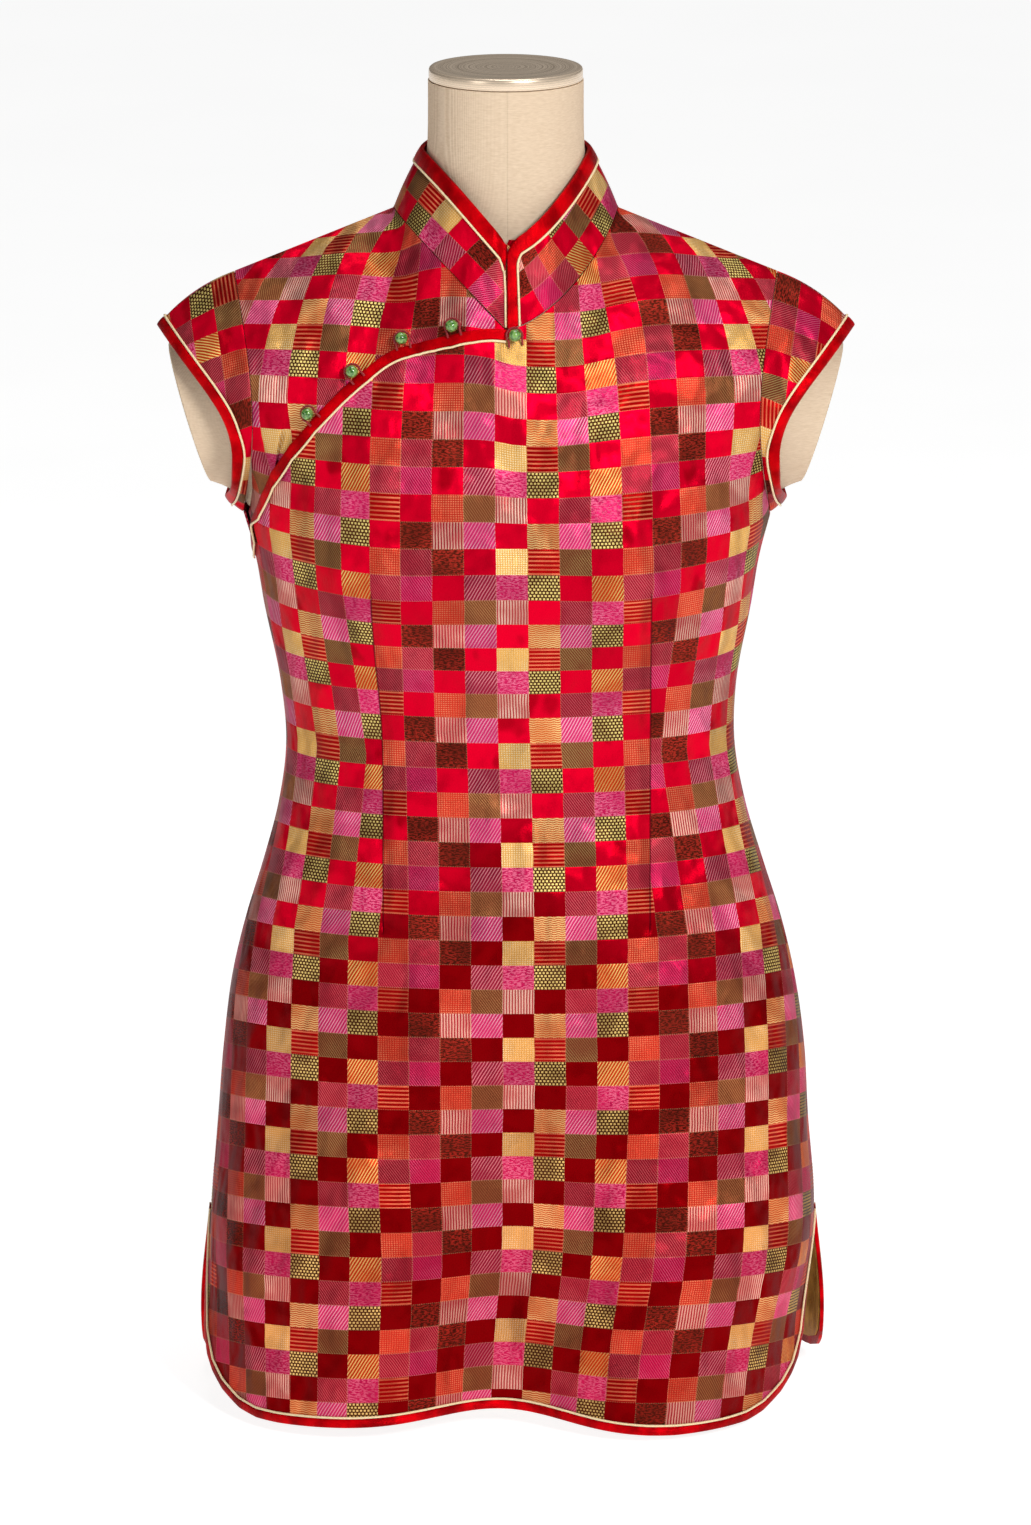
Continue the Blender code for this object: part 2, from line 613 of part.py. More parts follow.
def opening_places(turns):
    """Plumb turns and rises where the right front's columns meet the opening's edge."""
    trail = np.linspace(0.0, -1.0, 161)
    rises = opening_rise(trail)
    points = on_surface(FRONT, plumb(trail, rises), rises)
    reach = np.concatenate([[0.0], np.cumsum(np.linalg.norm(np.diff(points, axis=0), axis=1))])
    corner = np.interp(NECK_TURN, -trail, reach)
    spread = corner + (reach[-1] - corner) * (-turns - NECK_TURN) / (1 - NECK_TURN)
    wanted = np.where(turns > -NECK_TURN, np.interp(-turns, -trail, reach), spread)
    return np.interp(wanted, reach, trail), np.interp(wanted, reach, rises)


ANCHOR_ROW = 9                                     # front rows up to here stay level


def front_path(turns, shares):
    """Turns and rises along right front columns, from the anchor row (0) to the edge (1)."""
    edge_turns, edge_rises = opening_places(turns)
    level = (lower_heights()[ANCHOR_ROW - 2] - HEM) / (UNDERARM - HEM)
    rises = level + (edge_rises - level) * shares
    return plumb(turns + (edge_turns - turns) * shares, rises), rises


def front_grid():
    """Turns and rises of the main front, whose top edge on the right is the opening."""
    turns = panel_turns(FRONT)
    rises, turns = panel_rises(FRONT, turns), np.repeat(turns[None, :], PANEL_ROWS, axis=0)
    right = turns[0] < 1e-6
    shares = (rises[ANCHOR_ROW:, -1] - rises[ANCHOR_ROW, -1]) / (2.0 - rises[ANCHOR_ROW, -1])
    shares = np.repeat(shares[:, None], right.sum(), axis=1)
    shares[:-1] *= below_edge(turns[0, right], BINDING_WIDTH) / shares[-2]
    turns[ANCHOR_ROW:, right], rises[ANCHOR_ROW:, right] = front_path(turns[0, right], shares)
    return turns, rises


def below_edge(turns, distance):
    """Shares of right front columns at a distance square to the opening's edge."""
    edge = on_surface(FRONT, *front_path(turns, np.ones(len(turns))))
    shares = np.linspace(1.0, 0.0, 101)
    found = []
    for turn, point, ahead in zip(turns, edge, course_of(edge, False)):
        reach = on_surface(FRONT, *front_path(np.full(101, turn), shares)) - point
        square = np.linalg.norm(reach - np.outer(reach @ ahead, ahead), axis=1)
        found.append(np.interp(distance, square, shares))
    return np.array(found)


def make_front(brocade, satin, cord):
    """The main front, its hem and slit trim, and the opening's trim."""
    turns, rises = front_grid()
    front = panel("front_panel", FRONT, turns, rises, brocade)
    columns = turns.shape[1]
    bind_hem(front, "front_hem", columns, satin, cord)
    middle = columns // 2
    edge = [(-1, column) for column in range(0, middle + 1)]
    inside = [(-2, column) for column in range(0, middle + 1)]
    front.trim("opening", edge, inside, satin, cord, 2 * GAP)


SLIT_ROWS = 5                                      # panel rows from the corner up to the slit's top


def bind_hem(cloth, stem, columns, satin, cord):
    """Trim down one slit edge, round the corner, along the hem and up the other slit edge."""
    last = columns - 1
    up = list(range(SLIT_ROWS, 0, -1))
    edge = [(row, 0) for row in up] + [(0, column) for column in range(columns)]
    edge += [(row, last) for row in reversed(up)]
    side_rows = [1.2 if row == 1 else row for row in up]
    inside = [(row, 1) for row in side_rows] + [(1, 1), (1, 1.5)]
    inside += [(1, column) for column in range(2, columns - 2)]
    inside += [(1, last - 1.5), (1, last - 1)] + [(row, last - 1) for row in reversed(side_rows)]
    cloth.trim(stem, edge, inside, satin, cord)


def make_back(brocade, satin, cord, lining):
    """The back panel, its hem and slit trim, and the lining that shows at the slits."""
    turns = panel_turns(BACK)
    rises, turns = panel_rises(BACK, turns), np.repeat(turns[None, :], PANEL_ROWS, axis=0)
    back = panel("back_panel", BACK, turns, rises, brocade)
    bind_hem(back, "back_hem", turns.shape[1], satin, cord)
    panel("back_lining", BACK, turns[1:8, 1:-1], rises[1:8, 1:-1], lining, WALL + GAP, LINING_WALL)


def make_underlap(brocade):
    """The right front, which passes beneath the opening's edge; gives its rises at the armhole."""
    turns = panel_turns(FRONT)
    turns = turns[turns < 1e-6]
    edge_turns, edge = front_path(turns, np.ones(len(turns)))
    low_shares = below_edge(turns, UNDERLAP_DEPTH)
    _, low = front_path(turns, low_shares)
    shares = np.concatenate([[0.0], (UPPER_PANEL_RISES - low[0]) / (2.0 - low[0])])
    rises = low + (2.0 - low) * shares[:, None]
    below = np.clip((rises - low) / (edge - low), 0.0, 1.0)
    above = np.clip((rises - edge) / np.maximum(2.0 - edge, 1e-6), 0.0, 1.0)
    tucked_turns, _ = front_path(turns, low_shares + (1.0 - low_shares) * below)
    grid_turns = np.where(above > 0.0, edge_turns + (turns - edge_turns) * above, tucked_turns)
    tucked = WALL + 3 * GAP + 0.0016 * ease((-grid_turns - 0.72) / 0.12)
    inset = tucked * (1.0 - ease((rises - edge - 0.14) / 0.20))
    panel("underlap", FRONT, grid_turns, rises, brocade, inset)
    return rises[1:, 0]


# ---------------------------------------------------------------- sleeves
def grid_normals(grid, closed):
    """Unit normals of a grid of points; rows first, then columns."""
    if closed:
        across = np.roll(grid, -1, axis=1) - np.roll(grid, 1, axis=1)
    else:
        across = np.gradient(grid, axis=1)
    return unit(np.cross(np.gradient(grid, axis=0), across))


def sleeve_edge(side, hand, rises):
    """Free edge of the sleeve, matched to rises on the armhole."""
    step = 2.0 - np.asarray(rises)
    across, forward, height = (read_table(SLEEVE_EDGE, SLEEVE_COLUMNS, column, step)
                               for column in SLEEVE_COLUMNS[1:])
    share = 1.0 if side == FRONT else ARMHOLE_BACKWARD / ARMHOLE_FORWARD
    return np.stack([hand * across, side * share * forward, height], axis=-1)


def half_sleeve(side, hand, rises):
    """Rows from the armhole seam to the free edge, over one side's rises."""
    seam = on_surface(side, np.full(len(rises), hand), rises)
    facing = unit(seam - on_surface(side, np.full(len(rises), hand), rises, -0.001))
    edge = sleeve_edge(side, hand, rises)
    chord = edge - seam
    length = np.linalg.norm(chord, axis=1, keepdims=True)
    ahead = chord / length
    lift = unit(facing - ahead * (facing * ahead).sum(axis=1, keepdims=True))
    middle = (seam + edge) / 2 + lift * length * SLEEVE_SWELL
    bound = np.maximum(1.0 - BINDING_WIDTH / length, 0.40)
    rows = []
    for share in (0.0, 0.45, 0.78, 1.0):
        part = bound * share
        rows.append(seam * (1 - part) ** 2 + middle * 2 * part * (1 - part) + edge * part ** 2)
    rows.append(edge)
    return np.array(rows)


def make_sleeve(hand, word, front_rises, brocade, satin, cord):
    """One cap sleeve with its bound edge."""
    back_rises = UPPER_PANEL_RISES
    front = half_sleeve(FRONT, hand, front_rises)
    back = half_sleeve(BACK, hand, back_rises[::-1])
    grid = np.concatenate([front, back[:, 1:-1]], axis=1)
    for column in (0, len(front_rises) - 1):
        grid[:, column, 1] = 0.0
    out = grid_normals(grid, True) * hand
    start = unit(grid[1] - grid[0])
    grid[0] += start * SLEEVE_GAP
    facing = unit(np.concatenate([
        on_surface(side, np.full(len(rises), hand), rises)
        - on_surface(side, np.full(len(rises), hand), rises, -0.001)
        for side, rises in ((FRONT, front_rises), (BACK, back_rises[::-1][1:-1]))]))
    slant = np.abs((facing * start).sum(axis=1, keepdims=True))
    out[0] = unit(facing * (1.0 - slant) + out[0] * slant)
    sleeve = Cloth("sleeve_" + word, grid, out, brocade, closed=True)
    columns = range(grid.shape[1])
    edge = [(len(grid) - 1, column) for column in columns]
    inside = [(len(grid) - 2, column) for column in columns]
    sleeve.trim("armhole_" + word, edge, inside, satin, cord, GAP)


# ---------------------------------------------------------------- collar
def collar_top(side, hand=1.0, count=121):
    """Half of the collar's top edge, from the centre line to the side, as if on the left."""
    angle = np.linspace(math.pi / 2, 0.0, count)
    deep, height = COLLAR_TOP_FRONT if side == FRONT else COLLAR_TOP_BACK
    power = 1.25 if side == FRONT else 1.0
    share = np.sin(angle) ** power
    across = COLLAR_TOP_SIDE[0] * np.cos(angle) ** power
    reach = across / COLLAR_TOP_SIDE[0]
    fall = share ** 1.35
    if side == FRONT:
        fall = (1.0 - reach) ** COLLAR_V if hand < 0 else 1.0 - reach ** COLLAR_ROUND
    rise = COLLAR_TOP_SIDE[1] + (height - COLLAR_TOP_SIDE[1]) * fall
    return np.stack([across, side * deep * share, rise], axis=1)


def around_neck(half_line):
    """A line round the neck from the right front centre, by the back, to the left front centre."""
    left = np.concatenate([half_line(BACK), half_line(FRONT)[::-1][1:]])
    right = np.concatenate([half_line(FRONT, -1.0), half_line(BACK)[::-1][1:]])
    return np.concatenate([right * np.array([-1.0, 1.0, 1.0]), left[1:]])


def quarter_knots(half_line):
    """Distances round a neck line where its front halves and back halves end."""
    quarters = [half_line(FRONT, -1.0), half_line(BACK), half_line(BACK), half_line(FRONT)]
    return np.cumsum([0.0] + [np.linalg.norm(np.diff(line, axis=0), axis=1).sum() for line in quarters])


RIGHT_END = (-0.0012, 0.0036, 0.0084, 0.0125)      # collar columns by distance from the centre
LEFT_END = (0.0014, 0.0050, BINDING_WIDTH + 0.0014, 0.0139)


def make_collar(brocade, satin, cord):
    """The standing collar, whose left front end laps over its right one."""
    base_line, top_line = around_neck(neck_seam), around_neck(collar_top)
    knots, top_knots = quarter_knots(neck_seam), quarter_knots(collar_top)
    length, back_half = knots[-1], knots[2] - knots[1]
    shares = np.array(NECK_TURNS) / NECK_TURN
    halves = []
    for ends, front_half in ((RIGHT_END, knots[1]), (LEFT_END, length - knots[3])):
        front = front_half * shares[2:]
        back = front_half + back_half * (1.0 - shares[::-1][1:])
        halves.append(np.concatenate([ends, front, back]))
    right, left = halves[0], length - halves[1][:-1][::-1]
    places = np.concatenate([-np.array([COLLAR_OVERLAP, COLLAR_OVERLAP / 2]), right, left])
    mirror = np.where((places < 0)[:, None], [[-1.0, 1.0, 1.0]], 1.0)
    base = along(base_line, np.abs(places) / length) * mirror
    top = along(top_line, np.interp(np.abs(places), knots, top_knots) / top_knots[-1]) * mirror
    from_end = np.minimum(places + COLLAR_OVERLAP, length - places)
    drop = hem_lift(from_end, COLLAR_CORNER, 0.0)
    upward = unit(top - base)
    top = top - upward * drop[:, None]
    base = base + upward * COLLAR_GAP
    height = np.linalg.norm(top - base, axis=1, keepdims=True)
    bow = unit(np.cross(upward, np.gradient(base, axis=0))) * COLLAR_BOW
    rows = []
    slant = np.linalg.norm(np.cross(upward, course_of(top, False)), axis=1, keepdims=True)
    bound = 1 - COLLAR_BINDING_WIDTH / (height * np.maximum(slant, 0.6))
    for share in (0.0, 0.5 * bound, bound, 1.0):
        rows.append(base + (top - base) * share + bow * 4 * share * (1 - share))
    grid = np.array(rows)
    out = grid_normals(grid, False)
    tuck = (WALL + 2 * GAP) * ease((0.016 - places) / 0.014)
    grid = grid - out * tuck[None, :, None]
    collar = Cloth("collar", grid, out, brocade)
    last = len(places) - 1
    count = 2
    edge = [(3, column) for column in range(count, last + 1)] + [(row, last) for row in (2, 1, 0)]
    inside = [(2, column) for column in range(count, last - 2)]
    inside += [(2, last - 2.75), (1.97, last - 2.3), (1.90, last - 2.06)]
    inside += [(1.75, last - 2), (1, last - 2), (0, last - 2)]
    collar.bind("collar", edge, inside, satin, 2 * GAP)
    columns = range(count + 1, last - 2)
    edge = [(row, 0) for row in (0, 1, 2)] + [(3, column) for column in columns] + edge[-6:]
    inside = [(0, count), (1, count), (1.8, count + 0.3)] + [(2, column) for column in columns] + inside[-6:]
    collar.pipe("collar", edge, inside, cord)


def make_collar_tab(satin):
    """The satin tab behind the notch where the collar's two ends meet."""
    slope = (NECK_FRONT[0] - COLLAR_TOP_FRONT[0]) / (COLLAR_TOP_FRONT[1] - NECK_FRONT[1])
    lines = []
    for depth in (TAB["behind"], TAB["behind"] + TAB["wall"]):
        for height, half in zip(TAB["heights"], TAB["halves"]):
            forward = COLLAR_TOP_FRONT[0] + slope * (COLLAR_TOP_FRONT[1] - height) - depth
            lines.append([[TAB["centre"] + side * half, -forward, height] for side in (-1, 0, 1)])
    front, rear = np.array(lines[:3]), np.array(lines[3:])
    for line in (front, rear):
        line[:, ::2, 1] += TAB["curl"]
    wall_between("collar_tab", front, rear, satin)


# ---------------------------------------------------------------- buttons
def add_mesh(name, shape, finish):
    """Make one object from a closed bmesh."""
    mesh = bpy.data.meshes.new(name)
    shape.to_mesh(mesh)
    shape.free()
    mesh.shade_smooth()
    mesh.materials.append(finish)
    bpy.context.scene.collection.objects.link(bpy.data.objects.new(name, mesh))


def make_ball(name, centre, radius, finish, rings=7, sides=12):
    """A closed ball."""
    shape = bmesh.new()
    bmesh.ops.create_uvsphere(shape, u_segments=sides, v_segments=rings, radius=radius)
    bmesh.ops.translate(shape, verts=shape.verts, vec=tuple(centre))
    add_mesh(name, shape, finish)


def edge_point(turn, out=0.0):
    """A point of the opening's edge, or of the neck seam to the left of it."""
    rise = opening_rise(np.array([turn]))
    return on_surface(FRONT, plumb(np.array([turn]), rise), rise, out)[0]


def make_button(number, turn, outside, jade, satin):
    """A bead at the opening's edge, and the cord loop that holds it to the binding."""
    here = edge_point(turn)
    course = unit(edge_point(turn - 0.02) - edge_point(turn + 0.02))
    out = unit(sum(edge_point(near, 0.001) - edge_point(near) for near in (turn - 0.04, turn, turn + 0.04)))
    away = unit(np.cross(course, out))
    away = away if away[2] > 0 else -away
    seat = 5 * GAP if outside > 0 else GAP + TRIM_WALL + LOOP_RADIUS
    centre = here + away * outside + out * (BUTTON_RADIUS + seat)
    make_ball(f"button_{number}", centre, BUTTON_RADIUS, jade)
    angles = np.linspace(-0.5, math.pi + 0.5, 11)
    reach = np.cos(angles)[:, None] * course + np.sin(angles)[:, None] * away
    height = 2 * LOOP_RADIUS + 5 * GAP + TRIM_WALL
    low = here + away * outside + out * height
    points = low + reach * (BUTTON_RADIUS + LOOP_RADIUS + GAP)
    seated = LOOP_RADIUS + GAP + (TRIM_WALL + GAP if outside > 0 else 0.0)
    ends = points[[0, -1]] - away * LOOP_LEG + out * (seated - height)
    points = np.concatenate([ends[:1], points, ends[1:]])
    tube(f"button_loop_{number}", points, LOOP_RADIUS, satin)


# ---------------------------------------------------------------- dress form
def level_line(side, half, deep, height):
    """Front or back half of a level section of the form."""
    angle = FORM_TURNS * math.pi / 2
    return np.stack([half * np.sin(angle), side * deep * np.cos(angle), np.full(len(angle), height)], axis=1)


def under_dress(side, rise):
    """A line of the form beneath the dress: close to it along the shoulders, clear elsewhere."""
    close = ease((rise - 1.5) / 0.45) * ease((np.abs(FORM_TURNS) - 0.28) / 0.24)
    depth = WALL + FORM_CLEAR + (FORM_REST - FORM_CLEAR) * close
    return on_surface(side, FORM_TURNS, np.full(len(FORM_TURNS), rise), -depth)


def neck_line(side, start, share):
    """A line round the neck at a share of the way from its root to its top."""
    angle = FORM_TURNS[4:-4] / FORM_TURNS[-5] * math.pi / 2
    top = np.stack([NECK_RADIUS * np.sin(angle), side * NECK_RADIUS * np.cos(angle),
                    np.full(len(angle), CAP_HEIGHTS[0] - GAP)], axis=1)
    narrowed = 1.0 - (1.0 - share) ** 5
    plan = start + (top - start) * narrowed
    plan[:, 2] = start[:, 2] + (top[:, 2] - start[:, 2]) * share
    return plan


def stub_lines(loop):
    """Loops of an arm stub, from the armhole to its flat end."""
    bottom, top = loop[:, 2].min(), loop[:, 2].max()
    share = (loop[:, 2] - bottom) / (top - bottom)
    hand = np.sign(loop[0, 0])
    end = np.stack([hand * (STUB_BOTTOM[0] + (STUB_TOP[0] - STUB_BOTTOM[0]) * share),
                    np.sign(loop[:, 1]) * STUB_HALF_DEPTH * 2 * np.sqrt(share * (1 - share)),
                    STUB_BOTTOM[1] + (STUB_TOP[1] - STUB_BOTTOM[1]) * share], axis=1)
    middle = (loop + end) / 2
    middle = middle + (middle.mean(axis=0) - middle) * STUB_WAIST
    return [loop, middle, end]


def quads_between(lines, closed=False):
    """Faces between neighbouring lines of points."""
    faces = []
    for first, second in zip(lines[:-1], lines[1:]):
        for step in range(len(first) if closed else len(first) - 1):
            after = (step + 1) % len(first)
            faces.append([first[step], first[after], second[after], second[step]])
    return faces


def make_form(linen, steel):
    """The limbless form, with its neck and two arm stubs in one body, and the neck's cap."""
    heights = np.array(FORM_HEIGHTS)
    half, forward, backward = (read_table(FORM_SECTIONS, FORM_COLUMNS, name, heights)
                               for name in FORM_COLUMNS[1:])
    sides = {}
    for side, deep in ((FRONT, forward), (BACK, backward)):
        sides[side] = [level_line(side, *sizes) for sizes in zip(half, deep, heights)]
        sides[side] += [under_dress(side, rise) for rise in FORM_RISES]
    for front, back in zip(sides[FRONT][:len(heights) + 2], sides[BACK][:len(heights) + 2]):
        for end in (0, -1):
            front[end] = back[end] = (front[end] + back[end]) / 2 * [1.0, 0.0, 1.0]
    front, back = sides[FRONT][-1], sides[BACK][-1]
    seam = np.abs(FORM_TURNS) >= NECK_TURN
    front[seam] = (front[seam] + back[seam]) / 2 * [1.0, 0.0, 1.0]
    back[seam] = front[seam]
    faces = []
    neck_loop = []
    for side in (FRONT, BACK):
        faces += quads_between(sides[side])
        root = sides[side][-1][4:-4]
        neck = [neck_line(side, root, share) for share in NECK_SHARES]
        faces += quads_between(neck)
        neck_loop.append(neck[-1])
    under = len(heights) + 1
    for column in (0, -1):
        front_edge = [line[column] for line in sides[FRONT][under:]]
        back_edge = [line[column] for line in sides[BACK][under:]]
        loop = np.array(front_edge + back_edge[-2:0:-1])
        lines = stub_lines(loop)
        faces += quads_between(lines, closed=True)
        faces.append(list(lines[-1]))
    faces.append([*sides[FRONT][0], *sides[BACK][0][-2:0:-1]])
    faces.append([*neck_loop[0], *neck_loop[1][-2:0:-1]])
    shape = bmesh.new()
    for face in faces:
        shape.faces.new([shape.verts.new(point) for point in face])
    bmesh.ops.remove_doubles(shape, verts=shape.verts, dist=1e-5)
    bmesh.ops.recalc_face_normals(shape, faces=shape.faces)
    add_mesh("form_torso", shape, linen)
    shape = bmesh.new()
    bmesh.ops.create_cone(shape, cap_ends=True, segments=32, radius1=CAP_RADIUS, radius2=CAP_RADIUS,
                          depth=CAP_HEIGHTS[1] - CAP_HEIGHTS[0])
    bmesh.ops.translate(shape, verts=shape.verts, vec=(0.0, 0.0, sum(CAP_HEIGHTS) / 2))
    add_mesh("form_neck_cap", shape, steel)


# ---------------------------------------------------------------- main
def clear_scene():
    """Remove every object of the open file."""
    for old in list(bpy.data.objects):
        bpy.data.objects.remove(old, do_unlink=True)


def build():
    """Build every piece."""
    clear_scene()
    brocade = material("brocade", (0.62, 0.05, 0.10), 0.42)
    satin = material("binding_satin", (0.66, 0.01, 0.02), 0.35)
    cord = material("piping", (0.86, 0.66, 0.36), 0.40)
    lining = material("lining", (0.62, 0.40, 0.14), 0.45)
    jade = material("jade", (0.10, 0.24, 0.07), 0.25)
    linen = material("form_linen", (0.76, 0.63, 0.47), 0.85)
    steel = material("cap_steel", (0.62, 0.62, 0.64), 0.32, 1.0)
    make_front(brocade, satin, cord)
    make_back(brocade, satin, cord, lining)
    right_rises = make_underlap(brocade)
    make_sleeve(-1.0, "right", right_rises, brocade, satin, cord)
    make_sleeve(1.0, "left", UPPER_PANEL_RISES, brocade, satin, cord)
    make_collar(brocade, satin, cord)
    make_collar_tab(satin)
    for number, (turn, outside) in enumerate(BUTTONS, start=1):
        make_button(number, turn, outside, jade, satin)
    make_form(linen, steel)


build()
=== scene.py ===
"""Looks of a cheongsam on a limbless dress form: brocade, satin trims, beads, form and light.

Lengths are in metres. +X is the wearer's left, -Y is the front and +Z is up.
"""
import math

import bmesh
import bpy
import numpy as np
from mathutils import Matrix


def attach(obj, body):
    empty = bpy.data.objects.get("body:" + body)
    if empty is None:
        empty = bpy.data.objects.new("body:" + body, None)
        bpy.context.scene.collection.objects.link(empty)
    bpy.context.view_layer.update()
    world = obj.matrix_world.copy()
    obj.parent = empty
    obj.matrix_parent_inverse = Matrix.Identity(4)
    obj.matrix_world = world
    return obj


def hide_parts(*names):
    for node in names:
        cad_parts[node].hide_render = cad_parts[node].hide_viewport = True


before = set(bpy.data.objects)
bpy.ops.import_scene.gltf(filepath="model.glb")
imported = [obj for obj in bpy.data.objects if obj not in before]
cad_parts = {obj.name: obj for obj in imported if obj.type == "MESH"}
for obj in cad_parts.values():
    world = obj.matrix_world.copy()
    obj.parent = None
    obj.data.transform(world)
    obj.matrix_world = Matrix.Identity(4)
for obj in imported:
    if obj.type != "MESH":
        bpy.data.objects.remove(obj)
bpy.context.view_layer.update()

WALL = 0.0013                  # brocade, interlined
GAP = 0.0003                   # between pieces that meet
PROBE = 0.001                  # a small step off a surface, to find which way it faces
TRIM_WALL = 0.0009             # satin binding
LINING_WALL = 0.0010
PIPING_RADIUS = 0.0008
PIPING_BESIDE = 0.0002         # between it and the binding's edge
PIPING_ABOVE = 0.0001          # and the cloth beneath it
BINDING_WIDTH = 0.0072         # on the opening and armholes
COLLAR_BINDING_WIDTH = 0.0095
HEM_BINDING_WIDTH = 0.0060

HEM = 0.0055                   # lowest height of the hem above the floor
SLIT_TOP = 0.128               # height where each side slit begins
UNDERARM = 0.632
SHOULDER_TIP = (0.187, 0.8025)  # across, height
NECK_SIDE = (0.0773, 0.847)    # side neck point: across, height
NECK_FRONT = (0.090, 0.779)    # centre front neck point: forward, height
NECK_BACK = (0.070, 0.852)     # centre back neck point: backward, height
NECK_TURN = 0.36               # turn at which the neck seam meets the shoulder seam
TOP_STEEP = dict(all=0.1, middle=0.75, front=2.1, back=0.6, neck=0.42)   # slopes at the top seam
NECK_V = 1.15                  # 1 drops the right front neck seam in a straight V; more rounds it
CORNER_RADIUS = 0.044          # rounded hem corners at the slits: how high
CORNER_REACH = 0.080           # and how far along the hem
SLIT_OPEN = dict(cut=0.15, kick=0.010, reach=0.060)   # the front's slit edges part and turn outwards

ARMHOLE_FORWARD = 0.062        # how far the armhole seam swings to the front
ARMHOLE_BACKWARD = 0.050
ARMHOLE_TUCK = 0.0110          # and how far in towards the chest
ARMHOLE_SCOOP = 0.27           # share of the underarm section that the armhole cuts away

BUST = dict(across=0.088, height=0.603, spread=0.046, out=0.010)
HEM_VALLEY = dict(depth=0.052, spread=0.065, start=0.34)   # dip between the two front flutes
BACK_VALLEY = dict(depth=0.020, spread=0.070, start=0.34)

COLLAR_TOP_SIDE = (0.0575, 0.888)
COLLAR_TOP_FRONT = (0.0720, 0.836)
COLLAR_TOP_BACK = (0.0600, 0.893)
COLLAR_V = 1.30                # as NECK_V, for the collar's top edge on the right
COLLAR_ROUND = 1.45            # and how full its curve is on the left
COLLAR_OVERLAP = 0.0080        # the left end covers the right end by one binding width
COLLAR_TUCK = dict(reach=0.016, spread=0.014)   # its right end passes beneath the left one
COLLAR_CORNER = 0.014          # drop of the top edge at its rounded front ends

TAB = dict(centre=0.0043, behind=0.0034, wall=0.0016, curl=0.0004,
           heights=(0.8225, 0.8300, 0.8370), halves=(0.0018, 0.0038, 0.0048))

UNDERLAP_DEPTH = 0.034         # how far the right front reaches beneath the opening's edge
UNDERLAP_SUNK = dict(depth=0.0016, turn=0.72, spread=0.12)   # it lies deeper near the armhole
UNDERLAP_OUT = dict(rise=0.14, spread=0.20)    # and comes out to the front's level above the opening
BUTTON_RADIUS = 0.0043
LOOP_RADIUS = 0.0008
LOOP_LEG = 0.0045
CORD_SIDES = 10
SLEEVE_SWELL = 0.14            # how far the cap rounds out, as a share of its length
SLEEVE_UNBOUND = 0.40          # least share of its length that the binding leaves free
SLEEVE_SHARES = (0.0, 0.45, 0.78, 1.0, 2.0)    # coarse rows: 1 at the binding, 2 at the free edge
SLEEVE_GAP = 0.0005
COLLAR_LEAST_SLANT = 0.6
COLLAR_GAP = 0.0008
COLLAR_BOW = 0.0010
NECK_RADIUS = 0.0535
CAP_RADIUS = 0.0530
CAP_HEIGHTS = (0.9365, 0.9450)

# Horizontal sections of the dress below the underarm, outside of the cloth.
SECTION_COLUMNS = ("height", "front_half", "front_centre", "back_half", "back_centre",
                   "front_depth", "back_depth", "square")
SECTIONS = (
    (0.010, 0.2095, -0.0035, 0.2195, 0.0045, 0.162, 0.146, 2.70),
    (0.060, 0.2115, -0.0010, 0.2200, 0.0045, 0.156, 0.143, 2.65),
    (0.128, 0.2135, 0.0045, 0.2135, 0.0045, 0.147, 0.138, 2.55),
    (0.200, 0.2082, 0.0050, 0.2082, 0.0050, 0.133, 0.132, 2.42),
    (0.250, 0.2046, 0.0056, 0.2046, 0.0056, 0.123, 0.129, 2.35),
    (0.300, 0.1977, 0.0052, 0.1977, 0.0052, 0.115, 0.126, 2.30),
    (0.340, 0.1882, 0.0052, 0.1882, 0.0052, 0.110, 0.121, 2.25),
    (0.380, 0.1758, 0.0050, 0.1758, 0.0050, 0.105, 0.111, 2.20),
    (0.425, 0.1633, 0.0042, 0.1633, 0.0042, 0.098, 0.096, 2.18),
    (0.470, 0.1567, 0.0030, 0.1567, 0.0030, 0.093, 0.086, 2.16),
    (0.511, 0.1589, 0.0018, 0.1589, 0.0018, 0.096, 0.087, 2.15),
    (0.569, 0.1697, 0.0012, 0.1697, 0.0012, 0.112, 0.098, 2.15),
    (0.605, 0.1757, 0.0010, 0.1757, 0.0010, 0.119, 0.103, 2.15),
    (0.632, 0.1830, 0.0006, 0.1830, 0.0006, 0.119, 0.106, 2.15),
)

# How far the front hem rises above its lowest height, from the right to the left.
FRONT_HEM_COLUMNS = ("turn", "rise")
FRONT_HEM = ((-1.0, 0.0015), (-0.75, 0.0020), (-0.5, 0.0055), (0.0, 0.0080), (0.5, 0.0), (1.0, 0.0))

# The opening's edge on the front, from the centre neck to the right side seam.
OPENING_COLUMNS = ("turn", "height")
OPENING = (
    (0.0, 0.779), (-0.05, 0.780), (-0.10, 0.777), (-0.20, 0.771), (-0.30, 0.766), (-0.36, 0.7635),
    (-0.40, 0.760), (-0.45, 0.7513), (-0.50, 0.7372), (-0.55, 0.718), (-0.60, 0.7015),
    (-0.65, 0.6885), (-0.70, 0.677), (-0.75, 0.665), (-0.80, 0.650), (-0.85, 0.6315),
    (-0.92, 0.6155), (-1.0, 0.608),
)
# The beads: turn along the opening's edge, and how far outside that edge the bead sits.
BUTTONS = ((0.011, -0.0050), (-0.129, 0.0056), (-0.327, 0.0048),
           (-0.474, 0.0036), (-0.555, 0.0036))

